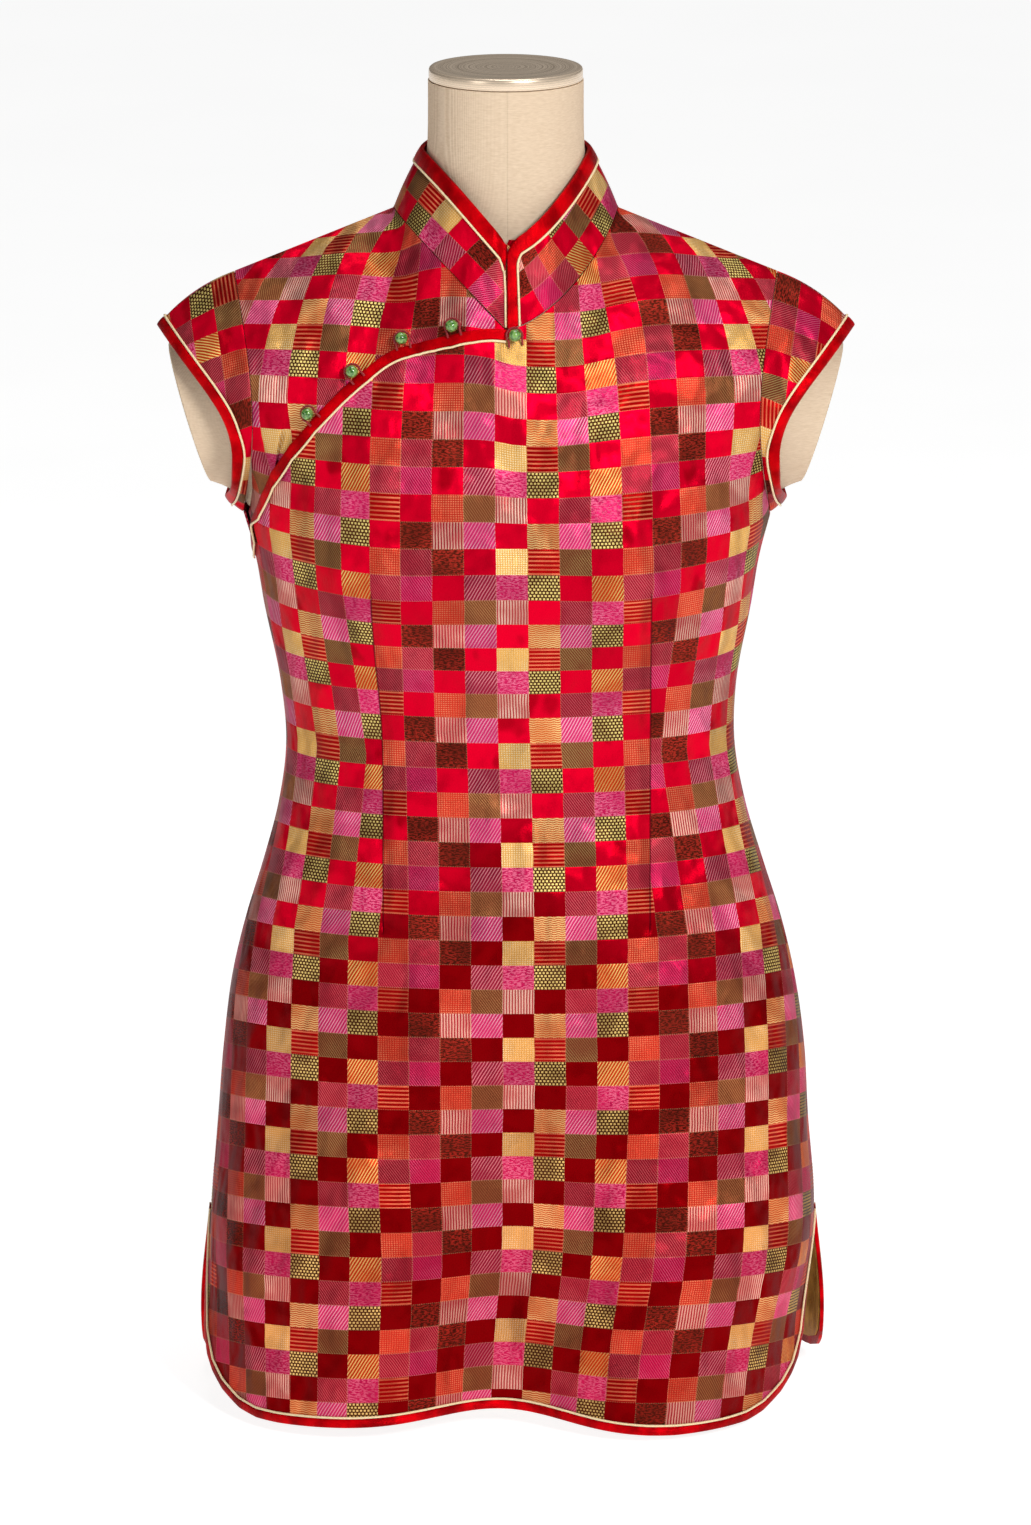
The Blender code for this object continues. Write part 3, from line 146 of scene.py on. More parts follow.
# The cap sleeve's free edge, from the top of the arm down to the underarm.
SLEEVE_COLUMNS = ("step", "across", "forward", "height")
SLEEVE_EDGE = (
    (0.00, 0.2405, 0.000, 0.7640), (0.12, 0.2323, 0.022, 0.7573), (0.25, 0.2190, 0.042, 0.7436),
    (0.36, 0.2061, 0.053, 0.7287), (0.46, 0.1960, 0.058, 0.7140), (0.59, 0.1895, 0.057, 0.6966),
    (0.75, 0.1880, 0.054, 0.6764), (0.88, 0.1895, 0.038, 0.6580), (1.00, 0.1945, 0.000, 0.6440),
)

# Horizontal sections of the form below the underarm.
FORM_COLUMNS = ("height", "half", "forward", "backward")
FORM_SECTIONS = (
    (0.000, 0.140, 0.070, 0.076), (0.120, 0.158, 0.082, 0.092), (0.230, 0.184, 0.097, 0.112),
    (0.300, 0.184, 0.100, 0.114), (0.380, 0.164, 0.094, 0.100), (0.470, 0.147, 0.084, 0.077),
    (0.560, 0.158, 0.100, 0.087),
)
FORM_HEIGHTS = (0.0, 0.06, 0.12, 0.18, 0.23, 0.28, 0.33, 0.38, 0.425, 0.47, 0.515, 0.56)
FORM_RISES = (0.955, 1.0, 1.13, 1.28, 1.44, 1.60, 1.76, 1.90, 2.0)  # where it follows the dress
FORM_REST = 0.0004             # between the form and the cloth that rests on its shoulders
FORM_CLEAR = 0.0055            # and elsewhere
NECK_SHARES = (0.0, 0.08, 0.18, 0.32, 0.55, 1.0)
STUB_TOP = (0.2330, 0.752)     # arm stub's flat end: across, height
STUB_BOTTOM = (0.2040, 0.654)
STUB_HALF_DEPTH = 0.037
STUB_WAIST = 0.06
STUB_END_INSET = 0.03          # the flat end's rounded rim: share in, and distance out
STUB_END_DOME = 0.0008
FORM_FINENESS = 4              # fine steps to each listed place of the form
# The cap's outline: distance in from its side, and down from its top.
CAP_TOP = ((0.0, 0.0020), (0.0004, 0.0009), (0.0012, 0.0002), (0.0024, 0.0), (0.0060, 0.0002))
# And the same of its foot: distance in from its side, and up from its bottom.
CAP_FOOT = ((0.0012, 0.0), (0.0003, 0.0003), (0.0, 0.0010))
FINENESS = (6, 5)              # fine steps to each coarse row and column
CELL_WIDTH = 0.0218            # checks of the brocade
CELL_HEIGHT = 0.0176
RED_ROW_TOP = 0.4693           # height on the centre front where a row of the chart starts anew
CHART_START = (4.5 * CELL_WIDTH - 0.0034, 5 * CELL_HEIGHT + 0.0017)   # chart place of the red row's middle
SLEEVE_CELL = 0.0180
COLLAR_CELL = (0.0190, 0.0170)
DART_ACROSS = 0.0925           # waist darts: across from a line a little left of the middle
DART_MIDDLE = 0.0074
DART_LEAN = 0.0072             # how far the right dart leans out at its top
DART_LEAN_HEIGHTS = (0.47, 0.60)
DART_HEIGHTS = (0.352, 0.603)
DART_INTAKE = 0.0145
CHART_RISE = (1.058, 0.984)    # how much taller the checks lie above and below the waist


# ---------------------------------------------------------------- small numeric tools
def ease(value):
    """Run smoothly from 0 to 1 while value goes from 0 to 1."""
    value = np.clip(value, 0.0, 1.0)
    return value * value * (3.0 - 2.0 * value)


def smooth_through(places, values, at):
    """Read a smooth curve that passes through the given values at the given places."""
    places = np.asarray(places, float)
    values = np.asarray(values, float)
    slopes = np.gradient(values, places)
    at = np.clip(at, places[0], places[-1])
    low = np.clip(np.searchsorted(places, at, side="right") - 1, 0, len(places) - 2)
    span = places[low + 1] - places[low]
    part = (at - places[low]) / span
    rise = ease(part)
    start = part * (1 - part) ** 2 * span * slopes[low]
    end = -part * part * (1 - part) * span * slopes[low + 1]
    return values[low] * (1 - rise) + values[low + 1] * rise + start + end


def read_table(rows, columns, name, at):
    """Read one named column of a table, smoothly, at places in its first column."""
    table = np.array(sorted(rows))
    return smooth_through(table[:, 0], table[:, columns.index(name)], at)


def unit(vectors):
    """Scale vectors to length 1."""
    return vectors / np.maximum(np.linalg.norm(vectors, axis=-1, keepdims=True), 1e-12)


def distances(points, axis=0):
    """Distances along lines of points, from 0 at their start."""
    steps = np.linalg.norm(np.diff(points, axis=axis), axis=-1)
    return np.insert(np.cumsum(steps, axis=axis), 0, 0.0, axis=axis)


def length_of(points):
    """Length of a line of points."""
    return float(np.linalg.norm(np.diff(points, axis=0), axis=1).sum())


def along(points, fractions):
    """Points at fractions of a polyline's length."""
    reach = distances(points)
    wanted = np.asarray(fractions) * reach[-1]
    return np.stack([np.interp(wanted, reach, points[:, axis]) for axis in range(3)], axis=-1)


def signed_power(value, power):
    """A power that keeps the sign."""
    return np.sign(value) * np.abs(value) ** power


def grid_place(turn, rise, turns, rises):
    """Row and column of turns and rises on a grid, which may lie between its points."""
    column = (np.clip(turn, -1, 1) + 1.0) * (len(turns) - 1) / 2
    return np.interp(rise, rises, np.arange(len(rises))), column


def read_grid(grid, row, column):
    """Read a grid between its rows and columns."""
    low_row = np.clip(row.astype(int), 0, grid.shape[0] - 2)
    low_column = np.clip(column.astype(int), 0, grid.shape[1] - 2)
    down, over = (row - low_row)[..., None], (column - low_column)[..., None]
    first = grid[low_row, low_column] * (1 - over) + grid[low_row, low_column + 1] * over
    second = grid[low_row + 1, low_column] * (1 - over) + grid[low_row + 1, low_column + 1] * over
    return first * (1 - down) + second * down


def refine(grid):
    """Add even steps between the coarse rows and columns of a grid."""
    grid = np.asarray(grid, float)
    rows, columns = (np.linspace(0, count - 1, (count - 1) * steps + 1)
                     for count, steps in zip(grid.shape, FINENESS))
    row, column = np.meshgrid(rows, columns, indexing="ij")
    return read_grid(grid[..., None], row, column)[..., 0]


def refine_line(values, steps):
    """Add even steps between the values of a line."""
    values = np.asarray(values, float)
    return np.interp(np.linspace(0, len(values) - 1, (len(values) - 1) * steps + 1),
                     np.arange(len(values)), values)


# ---------------------------------------------------------------- the dress surfaces
FRONT, BACK = -1.0, 1.0
FINE_TURNS = np.linspace(-1.0, 1.0, 201)
LOWER_RISES = np.linspace(0.0, 1.0, 121)
QUARTER_TURN = np.linspace(math.pi / 2, 0.0, 121)   # from a centre line to the side
UPPER_RISES = np.linspace(1.0, 2.0, 61)


def section(side, height):
    """Half of the dress's section at a height, even in length along the cloth."""
    name = "front" if side == FRONT else "back"
    half, centre, depth = (read_table(SECTIONS, SECTION_COLUMNS, name + column, height)
                           for column in ("_half", "_centre", "_depth"))
    power = 2.0 / read_table(SECTIONS, SECTION_COLUMNS, "square", height)
    opened = ease((SLIT_TOP - height) / SLIT_TOP) if side == FRONT else 0.0
    angle = np.linspace(-1.0, 1.0, 721) * math.pi / 2 * (1.0 - SLIT_OPEN["cut"] * opened)
    kick = SLIT_OPEN["kick"] * opened
    across = signed_power(np.sin(angle), power)
    across = across / across[-1] * (half - kick)
    out = depth * np.abs(np.cos(angle)) ** power
    across = across + np.sign(across) * kick * np.clip(1 - (out - out[0]) / SLIT_OPEN["reach"], 0, 1) ** 2
    edge = np.abs(np.cos(angle)) ** 0.5
    if side == FRONT:
        nearness = ((np.abs(across) - BUST["across"]) / BUST["spread"]) ** 2
        nearness = nearness + ((height - BUST["height"]) / BUST["spread"]) ** 2
        out = out + BUST["out"] * np.exp(-nearness) * edge
    valley = HEM_VALLEY if side == FRONT else BACK_VALLEY
    fall = ease((valley["start"] - height) / (valley["start"] - HEM))
    out = out - valley["depth"] * fall * np.exp(-(across / valley["spread"]) ** 2) * edge
    points = np.stack([centre + across, side * out, np.full_like(across, height)], axis=1)
    middle = len(points) // 2
    right = along(points[:middle + 1], FINE_TURNS[:101] + 1.0)
    left = along(points[middle:], FINE_TURNS[101:])
    return np.concatenate([right, left])


def neck_seam(side, hand=1.0):
    """Half of the neck seam, from the centre line to the side neck point, as if on the left."""
    angle = QUARTER_TURN
    deep, low = NECK_FRONT if side == FRONT else NECK_BACK
    power = 1.2 if side == FRONT else 1.0
    across = NECK_SIDE[0] * np.cos(angle) ** power
    share = np.sin(angle) ** power
    straight = side == FRONT and hand < 0
    fall = (1.0 - across / NECK_SIDE[0]) ** NECK_V if straight else share ** 1.45
    height = NECK_SIDE[1] + (low - NECK_SIDE[1]) * fall
    return np.stack([across, side * deep * share, height], axis=1)


def top_seam(side):
    """Top boundary of a panel: shoulder seam, neck seam and shoulder seam again."""
    turns = np.abs(FINE_TURNS)
    right, left = (along(neck_seam(side, hand), np.clip(turns / NECK_TURN, 0, 1)) for hand in (-1.0, 1.0))
    neck = np.where((FINE_TURNS < 0)[:, None], right, left)
    start, end = np.array(NECK_SIDE), np.array(SHOULDER_TIP)
    part = np.clip((turns - NECK_TURN) / (1 - NECK_TURN), 0, 1)[:, None]
    plan = start + (end - start) * part
    shoulder = np.stack([plan[:, 0], np.zeros(len(turns)), plan[:, 1]], axis=1)
    points = np.where((turns < NECK_TURN)[:, None], neck, shoulder)
    points[:, 0] *= np.where(FINE_TURNS < 0, -1.0, 1.0)
    return points


def armhole_seam(side, hand, rises):
    """Armhole seam of one panel at rises from 1 (underarm) to 2 (shoulder tip)."""
    part = np.asarray(rises) - 1.0
    swing = ARMHOLE_FORWARD if side == FRONT else ARMHOLE_BACKWARD
    low = read_table(SECTIONS, SECTION_COLUMNS, "front_half", UNDERARM)
    centre = read_table(SECTIONS, SECTION_COLUMNS, "front_centre", UNDERARM)
    bow = np.sin(math.pi * part)
    across = low + (SHOULDER_TIP[0] - low) * part - ARMHOLE_TUCK * bow
    height = UNDERARM + (SHOULDER_TIP[1] - UNDERARM) * part
    offset = centre * (1 - part)
    return np.stack([offset + hand * across, side * swing * bow ** 0.8, height], axis=-1)


def scoop(part):
    """Share of the section that the armhole takes away, from the underarm (0) upwards."""
    return ARMHOLE_SCOOP * np.sin(math.pi * np.clip(part, 0.0, 0.5)) ** 0.9


SOFTEN_ROUNDS = 150
SOFTEN_SPREAD = 0.14           # turns on each side of the neck's corner


def soften_below_neck(patch):
    """Even out the fold that starts where the neck and shoulder seams meet."""
    part = (UPPER_RISES - 1.0)[:, None, None]
    near = np.exp(-((np.abs(FINE_TURNS) - NECK_TURN) / SOFTEN_SPREAD) ** 2)[None, :, None]
    weight = (np.sin(math.pi * np.clip(part, 0, 1)) ** 0.5 * near)[:, 1:-1]
    for _ in range(SOFTEN_ROUNDS):
        middle = (patch[:, :-2] + patch[:, 2:]) / 2
        patch[:, 1:-1] += 0.5 * weight * (middle - patch[:, 1:-1])
    return patch


def upper_surface(side, base, slope):
    """Fill between the underarm section, the armhole seams and the shoulder and neck seams."""
    top = top_seam(side)
    reach = np.linalg.norm(top - base, axis=1, keepdims=True)
    deep = NECK_FRONT[0] if side == FRONT else NECK_BACK[0]
    share = np.abs(top[:, 1:2]) / deep
    nearness = 1.0 - ease((np.abs(FINE_TURNS)[:, None] - 0.08) / 0.60)
    steepness = TOP_STEEP["all"] + TOP_STEEP["middle"] * nearness
    steepness = steepness + TOP_STEEP["front" if side == FRONT else "back"] * share ** 2.2
    steepness = steepness + TOP_STEEP["neck"] * share ** 0.45
    ahead = unit(np.concatenate([np.zeros_like(share), -side + 0 * share, steepness], axis=1))
    top_pull = ahead * reach
    rows = []
    for part in UPPER_RISES - 1.0:
        kept = FINE_TURNS * (1.0 - scoop(part))
        low, pull = (np.stack([np.interp(kept, FINE_TURNS, values[:, axis]) for axis in range(3)], axis=1)
                     for values in (base, slope * reach))
        rise = ease(part)
        row = low * (1 - rise) + top * rise + pull * part * (1 - part) ** 2
        rows.append(row - top_pull * part * part * (1 - part))
    patch = np.array(rows)
    for hand, edge in ((-1.0, 0), (1.0, -1)):
        seam = armhole_seam(side, hand, UPPER_RISES)
        miss = seam - patch[:, edge]
        share = ease((hand * FINE_TURNS - 0.35) / 0.65)[None, :, None]
        patch = patch + miss[:, None, :] * share
    return soften_below_neck(patch)


def fine_surface(side):
    """Points and outward normals of one side of the dress on a fine grid of rises and turns."""
    heights = HEM + (UNDERARM - HEM) * LOWER_RISES
    lower = np.array([section(side, height) for height in heights])
    slope = (lower[-1] - lower[-4]) / (heights[-1] - heights[-4])
    upper = upper_surface(side, lower[-1], slope)
    points = np.concatenate([lower, upper[1:]])
    rises = np.concatenate([LOWER_RISES, UPPER_RISES[1:]])
    along_turn = np.gradient(points, axis=1)
    along_rise = np.gradient(points, axis=0)
    normals = side * np.cross(along_rise, along_turn)
    at_seam = np.zeros(normals.shape[:2], bool)
    at_seam[rises <= 1.0, 0] = True
    at_seam[rises <= 1.0, -1] = True
    at_seam[-1, np.abs(FINE_TURNS) >= NECK_TURN] = True
    normals[..., 1] = np.where(at_seam, 0.0, normals[..., 1])
    points[..., 1] += side * GAP / 2
    return rises, points, unit(normals)


SURFACES = {side: fine_surface(side) for side in (FRONT, BACK)}


def on_surface(side, turn, rise, out=0.0):
    """Points at turns and rises on a side of the dress, moved out along the normal."""
    rises, points, normals = SURFACES[side]
    turn, rise = np.broadcast_arrays(np.asarray(turn, float), np.asarray(rise, float))
    row, column = grid_place(turn, rise, FINE_TURNS, rises)
    facing = unit(read_grid(normals, row, column))
    return read_grid(points, row, column) + facing * np.asarray(out)[..., None]


def plumb(turn, rise):
    """Turn of a right-hand front column that runs plumb where the armhole draws the turns in."""
    share = ease((-turn - NECK_TURN) / 0.25)
    return np.maximum(turn / (1.0 - scoop(rise - 1.0) * share), -1.0)


def rise_at_height(turn, height):
    """Rise at which a column of the front reaches a height."""
    rises = SURFACES[FRONT][0]
    found = []
    for one_turn, one_height in zip(np.atleast_1d(turn), np.atleast_1d(height)):
        heights = on_surface(FRONT, plumb(np.full(len(rises), one_turn), rises), rises)[:, 2]
        found.append(np.interp(one_height, heights, rises))
    return np.array(found)


def half_girth(side, height):
    """Cloth length from the centre line to a side seam at a height."""
    return length_of(section(side, height)[len(FINE_TURNS) // 2:])


# ---------------------------------------------------------------- flat pattern pieces
GRAIN_TURNS = np.linspace(-1.0, 1.0, 61)
GRAIN_RISES = np.concatenate([np.linspace(0.0, 1.0, 33), np.linspace(1.0, 2.0, 17)[1:]])
FLATTEN_ROUNDS = 1500
FLATTEN_PULL = 1.3


def flatten(side):
    """Lay one side of the dress out flat, as across and up from the centre of the hem."""
    points = on_surface(side, GRAIN_TURNS[None, :], GRAIN_RISES[:, None])
    rows, columns = points.shape[:2]
    middle = columns // 2
    reach = distances(points, 1)
    flat = np.stack([reach - reach[:, middle:middle + 1], distances(points)], axis=-1)
    links = []
    for down, over in ((0, 1), (1, 0), (1, 1), (1, -1)):
        first = (slice(0, rows - down), slice(max(-over, 0), columns - max(over, 0)))
        second = (slice(down, rows), slice(max(over, 0), columns - max(-over, 0)))
        links.append((first, second, np.linalg.norm(points[second] - points[first], axis=2)))
    count = np.zeros((rows, columns, 1))
    for first, second, _ in links:
        count[first] += 1
        count[second] += 1
    for _ in range(FLATTEN_ROUNDS):
        pull = np.zeros_like(flat)
        for first, second, rest in links:
            step = flat[second] - flat[first]
            length = np.linalg.norm(step, axis=2)
            move = step * (0.5 * (1.0 - rest / length))[..., None]
            pull[first] += move
            pull[second] -= move
        flat += FLATTEN_PULL * pull / count
    mirrored = flat[:, ::-1] * np.array([-1.0, 1.0])
    return (flat + mirrored) / 2


FLAT = {side: flatten(side) for side in (FRONT, BACK)}


def lay_columns(side):
    """Across places of the brocade's columns: plumb between the darts, along the cut beyond them."""
    points = on_surface(side, GRAIN_TURNS[None, :], GRAIN_RISES[:, None])
    reach = distances(points[..., :2], 1)
    reach = reach - reach[:, len(GRAIN_TURNS) // 2][:, None]
    laid = FLAT[side].copy()
    for row, place in enumerate(points[..., 0]):
        inner = np.clip(place, -DART_ACROSS, DART_ACROSS)
        cut = FLAT[side][row, :, 0]
        laid[row, :, 0] = np.interp(inner, place, reach[row]) + cut - np.interp(inner, place, cut)
    return laid


LAID = {side: lay_columns(side) for side in (FRONT, BACK)}


def flat_place(side, turn, rise, grids=FLAT):
    """Place on the flat pattern piece of turns and rises."""
    return read_grid(grids[side], *grid_place(turn, rise, GRAIN_TURNS, GRAIN_RISES))


def chart_place(side, turn, rise):
    """Place in the brocade's chart: from the wearer's right, and down from the red row."""
    flat = flat_place(side, turn, rise, LAID)
    rises = np.linspace(0.0, 1.0, 401)
    heights = on_surface(side, np.zeros(401), rises)[:, 2]
    start = flat_place(side, np.zeros(1), np.interp([RED_ROW_TOP], heights, rises))[0, 1]
    down = start - flat[..., 1]
    down = np.where(down < 0, down / CHART_RISE[0], down / CHART_RISE[1])
    return np.stack([flat[..., 0] + CHART_START[0], down + CHART_START[1]], axis=-1)


# ---------------------------------------------------------------- finishes
def tint(red, green, blue):
    """A colour from its display values, 0 to 255."""
    shares = np.array([red, green, blue]) / 255.0
    linear = np.where(shares <= 0.04045, shares / 12.92, ((shares + 0.055) / 1.055) ** 2.4)
    return (*map(float, linear), 1.0)


class Value:
    """What a material's node gives; sums, products and the like add further nodes."""

    def __init__(self, finish, socket):
        self.finish = finish
        self.socket = socket

    def __add__(self, other):
        return self.finish.math("ADD", self, other)

    def __sub__(self, other):
        return self.finish.math("SUBTRACT", self, other)

    def __rsub__(self, other):
        return self.finish.math("SUBTRACT", other, self)

    def __mul__(self, other):
        return self.finish.math("MULTIPLY", self, other)

    def __truediv__(self, other):
        return self.finish.math("DIVIDE", self, other)

    def __abs__(self):
        return self.finish.math("ABSOLUTE", self)


class Finish:
    """A material in the making, with short calls that add its nodes."""

    def __init__(self, name, roughness=0.5, metallic=0.0, **settings):
        self.material = bpy.data.materials.new(name)
        self.material.use_nodes = True
        self.tree = self.material.node_tree
        self.shader = self.tree.nodes["Principled BSDF"]
        settings.update(Roughness=roughness, Metallic=metallic)
        for key, value in settings.items():
            self.shader.inputs[key.replace("_", " ")].default_value = value

    def node(self, kind, **settings):
        """Add a node."""
        made = self.tree.nodes.new(kind)
        for key, value in settings.items():
            setattr(made, key, value)
        return made

    def put(self, socket, value):
        """Link or set a socket."""
        if isinstance(value, Value):
            self.tree.links.new(value.socket, socket)
        else:
            socket.default_value = value

    def feed(self, made, values):
        """Give a node its first inputs and take what it gives."""
        for socket, value in zip(made.inputs, values):
            self.put(socket, value)
        return Value(self, made.outputs[0])

    def math(self, operation, *values, clamp=False):
        """Work out a number."""
        return self.feed(self.node("ShaderNodeMath", operation=operation, use_clamp=clamp), values)

    def mix(self, share, first, second, blend="MIX"):
        """Mix two colours."""
        made = self.node("ShaderNodeMix", data_type="RGBA", blend_type=blend)
        for place, value in ((0, share), (6, first), (7, second)):
            self.put(made.inputs[place], value)
        return Value(self, made.outputs[2])

    def scale(self, colour, red, green, blue):
        """Multiply the parts of a colour."""
        return self.mix(1.0, colour, self.vector(red, green, blue), "MULTIPLY")

    def level(self, value, low, high, start=0.0, end=1.0):
        """Carry a value from one range to another."""
        made = self.node("ShaderNodeMapRange", interpolation_type="SMOOTHSTEP")
        return self.feed(made, (value, low, high, start, end))

    def places(self, kind="UV"):
        """Coordinates, as one vector and its parts."""
        vector = Value(self, self.node("ShaderNodeTexCoord").outputs[kind])
        parts = self.node("ShaderNodeSeparateXYZ")
        self.put(parts.inputs[0], vector)
        return vector, [Value(self, part) for part in parts.outputs]

    def vector(self, *values):
        """A vector from its parts."""
        return self.feed(self.node("ShaderNodeCombineXYZ"), values)

    def noise(self, vector, scale, detail=2.0):
        """Soft noise around one half; the scale is one number, or one for each direction."""
        if isinstance(scale, tuple):
            mapping = self.node("ShaderNodeMapping")
            mapping.inputs["Scale"].default_value = scale
            vector, scale = self.feed(mapping, [vector]), 1.0
        made = self.node("ShaderNodeTexNoise")
        for name, value in (("Vector", vector), ("Scale", scale), ("Detail", detail)):
            self.put(made.inputs[name], value)
        return Value(self, made.outputs[0])

    def stripes(self, place, pitch, share=0.5, soft=0.18):
        """Lines across a coordinate: 1 on a line and 0 between."""
        wave = self.math("PINGPONG", place / (pitch / 2), 1.0)
        return self.level(wave, 1.0 - share - soft, 1.0 - share + soft)

    def steps(self, place, values):
        """Read even steps of a chart."""
        made = self.node("ShaderNodeValToRGB")
        ramp = made.color_ramp
        ramp.interpolation = "CONSTANT"
        while len(ramp.elements) < len(values):
            ramp.elements.new(1.0)
        for number, value in enumerate(values):
            ramp.elements[number].position = number / len(values)
            ramp.elements[number].color = value
        return self.feed(made, [place])

    def bump(self, height, depth, strength=1.0):
        """Relief of a surface."""
        made = self.node("ShaderNodeBump")
        made.inputs["Strength"].default_value = strength
        made.inputs["Distance"].default_value = depth
        self.put(made.inputs["Height"], height)
        return made

    def finish(self, colour, height=None, depth=0.0, roughness=None, strength=1.0,
               waves=None, wave_depth=0.0):
        """Link the colour, the relief, the roughness and the cloth's soft waves."""
        self.put(self.shader.inputs["Base Color"], colour)
        if roughness is not None:
            self.put(self.shader.inputs["Roughness"], roughness)
        if height is None:
            return self.material
        relief = self.bump(height, depth, strength)
        if waves is not None:
            swell = self.bump(waves, wave_depth)
            self.tree.links.new(swell.outputs[0], relief.inputs["Normal"])
        self.tree.links.new(relief.outputs[0], self.shader.inputs["Normal"])
        return self.material


WEAVES = ("satin", "rib", "bars", "pinstripe", "basket", "twill", "fine twill", "mottled", "wavy")
# Each check's weave, ground colour and figure colour.
CHECKS = {
    "red": ("satin", (228, 0, 44), (228, 0, 44)),
    "orange": ("rib", (206, 58, 40), (240, 146, 106)),
    "mauve": ("fine twill", (164, 28, 54), (214, 108, 114)),
    "bars": ("bars", (172, 10, 14), (238, 136, 96)),
    "pink": ("fine twill", (190, 14, 78), (226, 104, 144)),
    "brown": ("mottled", (84, 34, 22), (166, 50, 38)),
    "pinstripe": ("pinstripe", (184, 50, 62), (244, 206, 184)),
    "diagonal": ("twill", (156, 34, 64), (226, 146, 156)),
    "olive brown": ("fine twill", (136, 78, 50), (184, 146, 90)),
    "light pink": ("twill", (218, 56, 122), (252, 186, 210)),
    "yellow": ("rib", (240, 194, 98), (255, 250, 194)),
    "mottled": ("mottled", (206, 36, 100), (236, 118, 158)),
    "salmon": ("pinstripe", (190, 76, 76), (254, 226, 204)),
    "basket": ("basket", (74, 36, 18), (255, 250, 150)),
    "wavy": ("wavy", (210, 104, 46), (255, 232, 156)),
    "olive": ("fine twill", (124, 66, 44), (164, 150, 92)),
    "gold": ("twill", (212, 78, 30), (255, 236, 140)),
}
SHADED_SATIN_RED = (136, 0, 8)         # painted shade of the red satin, below the waist and in small folds
CHART = (
    ("orange", "mauve", "brown", "red", "yellow", "bars", "olive", "red"),
    ("mauve", "pink", "red", "diagonal", "mottled", "basket", "red", "gold"),
    ("bars", "red", "orange", "olive brown", "salmon", "red", "mauve", "mottled"),
    ("red", "brown", "pinstripe", "light pink", "red", "wavy", "light pink", "basket"),
)
BASKET_PITCH = (0.0026, 0.0022)   # across and down
SAME_WEAVE = 0.03              # how near two weaves' places are when they are the same one
SATIN_SHINE = dict(Specular_IOR_Level=0.15, Specular_Tint=(0.3, 0.08, 0.08, 1.0))
BROCADE_SHINE = dict(Specular_IOR_Level=0.08, Specular_Tint=(0.2, 0.05, 0.05, 1.0))
SATIN_METALLIC = 0.45


def weave_figures(cloth, vector, across, down):
    """Each weave's figure: 1 on its raised threads and 0 on its ground."""
    bent = down + cloth.math("SINE", across / 0.0009) * 0.0003
    odd_row = cloth.math("FLOORED_MODULO", cloth.math("FLOOR", down / BASKET_PITCH[1]), 2.0)
    staggered = across + odd_row * (BASKET_PITCH[0] / 2)
    return {
        "rib": cloth.stripes(down, 0.0015, 0.55, 0.2) * cloth.stripes(across, 0.0017, 0.6, 0.2),
        "bars": cloth.stripes(down, 0.0029, 0.36, 0.12),
        "pinstripe": cloth.stripes(across, 0.0020, 0.5),
        "basket": (cloth.stripes(down, BASKET_PITCH[1], 0.62)
                   * cloth.stripes(staggered, BASKET_PITCH[0], 0.58)),
        "twill": cloth.stripes(across + down * 0.6, 0.0023, 0.36, 0.14),
        "fine twill": cloth.stripes(across - down * 0.7, 0.0018, 0.34, 0.14),
        "mottled": cloth.level(cloth.noise(vector, (380.0, 1100.0, 1.0), 1.0), 0.46, 0.54),
        "wavy": cloth.stripes(bent, 0.0016, 0.5, 0.25),
    }


def waist_darts(cloth, left, height):
    """Waist darts: places across from the darts' middle, their taper, and the distance from them."""
    middle, reach = sum(DART_HEIGHTS) / 2, (DART_HEIGHTS[1] - DART_HEIGHTS[0]) / 2
    taper = cloth.math("SUBTRACT", 1.0, abs(height - middle) / reach, clamp=True)
    lean = cloth.level(height, *DART_LEAN_HEIGHTS, 0.0, DART_LEAN) * cloth.math("LESS_THAN", left, 0.0)
    left = left + lean - DART_MIDDLE
    return left, taper, abs(abs(left) - DART_ACROSS)


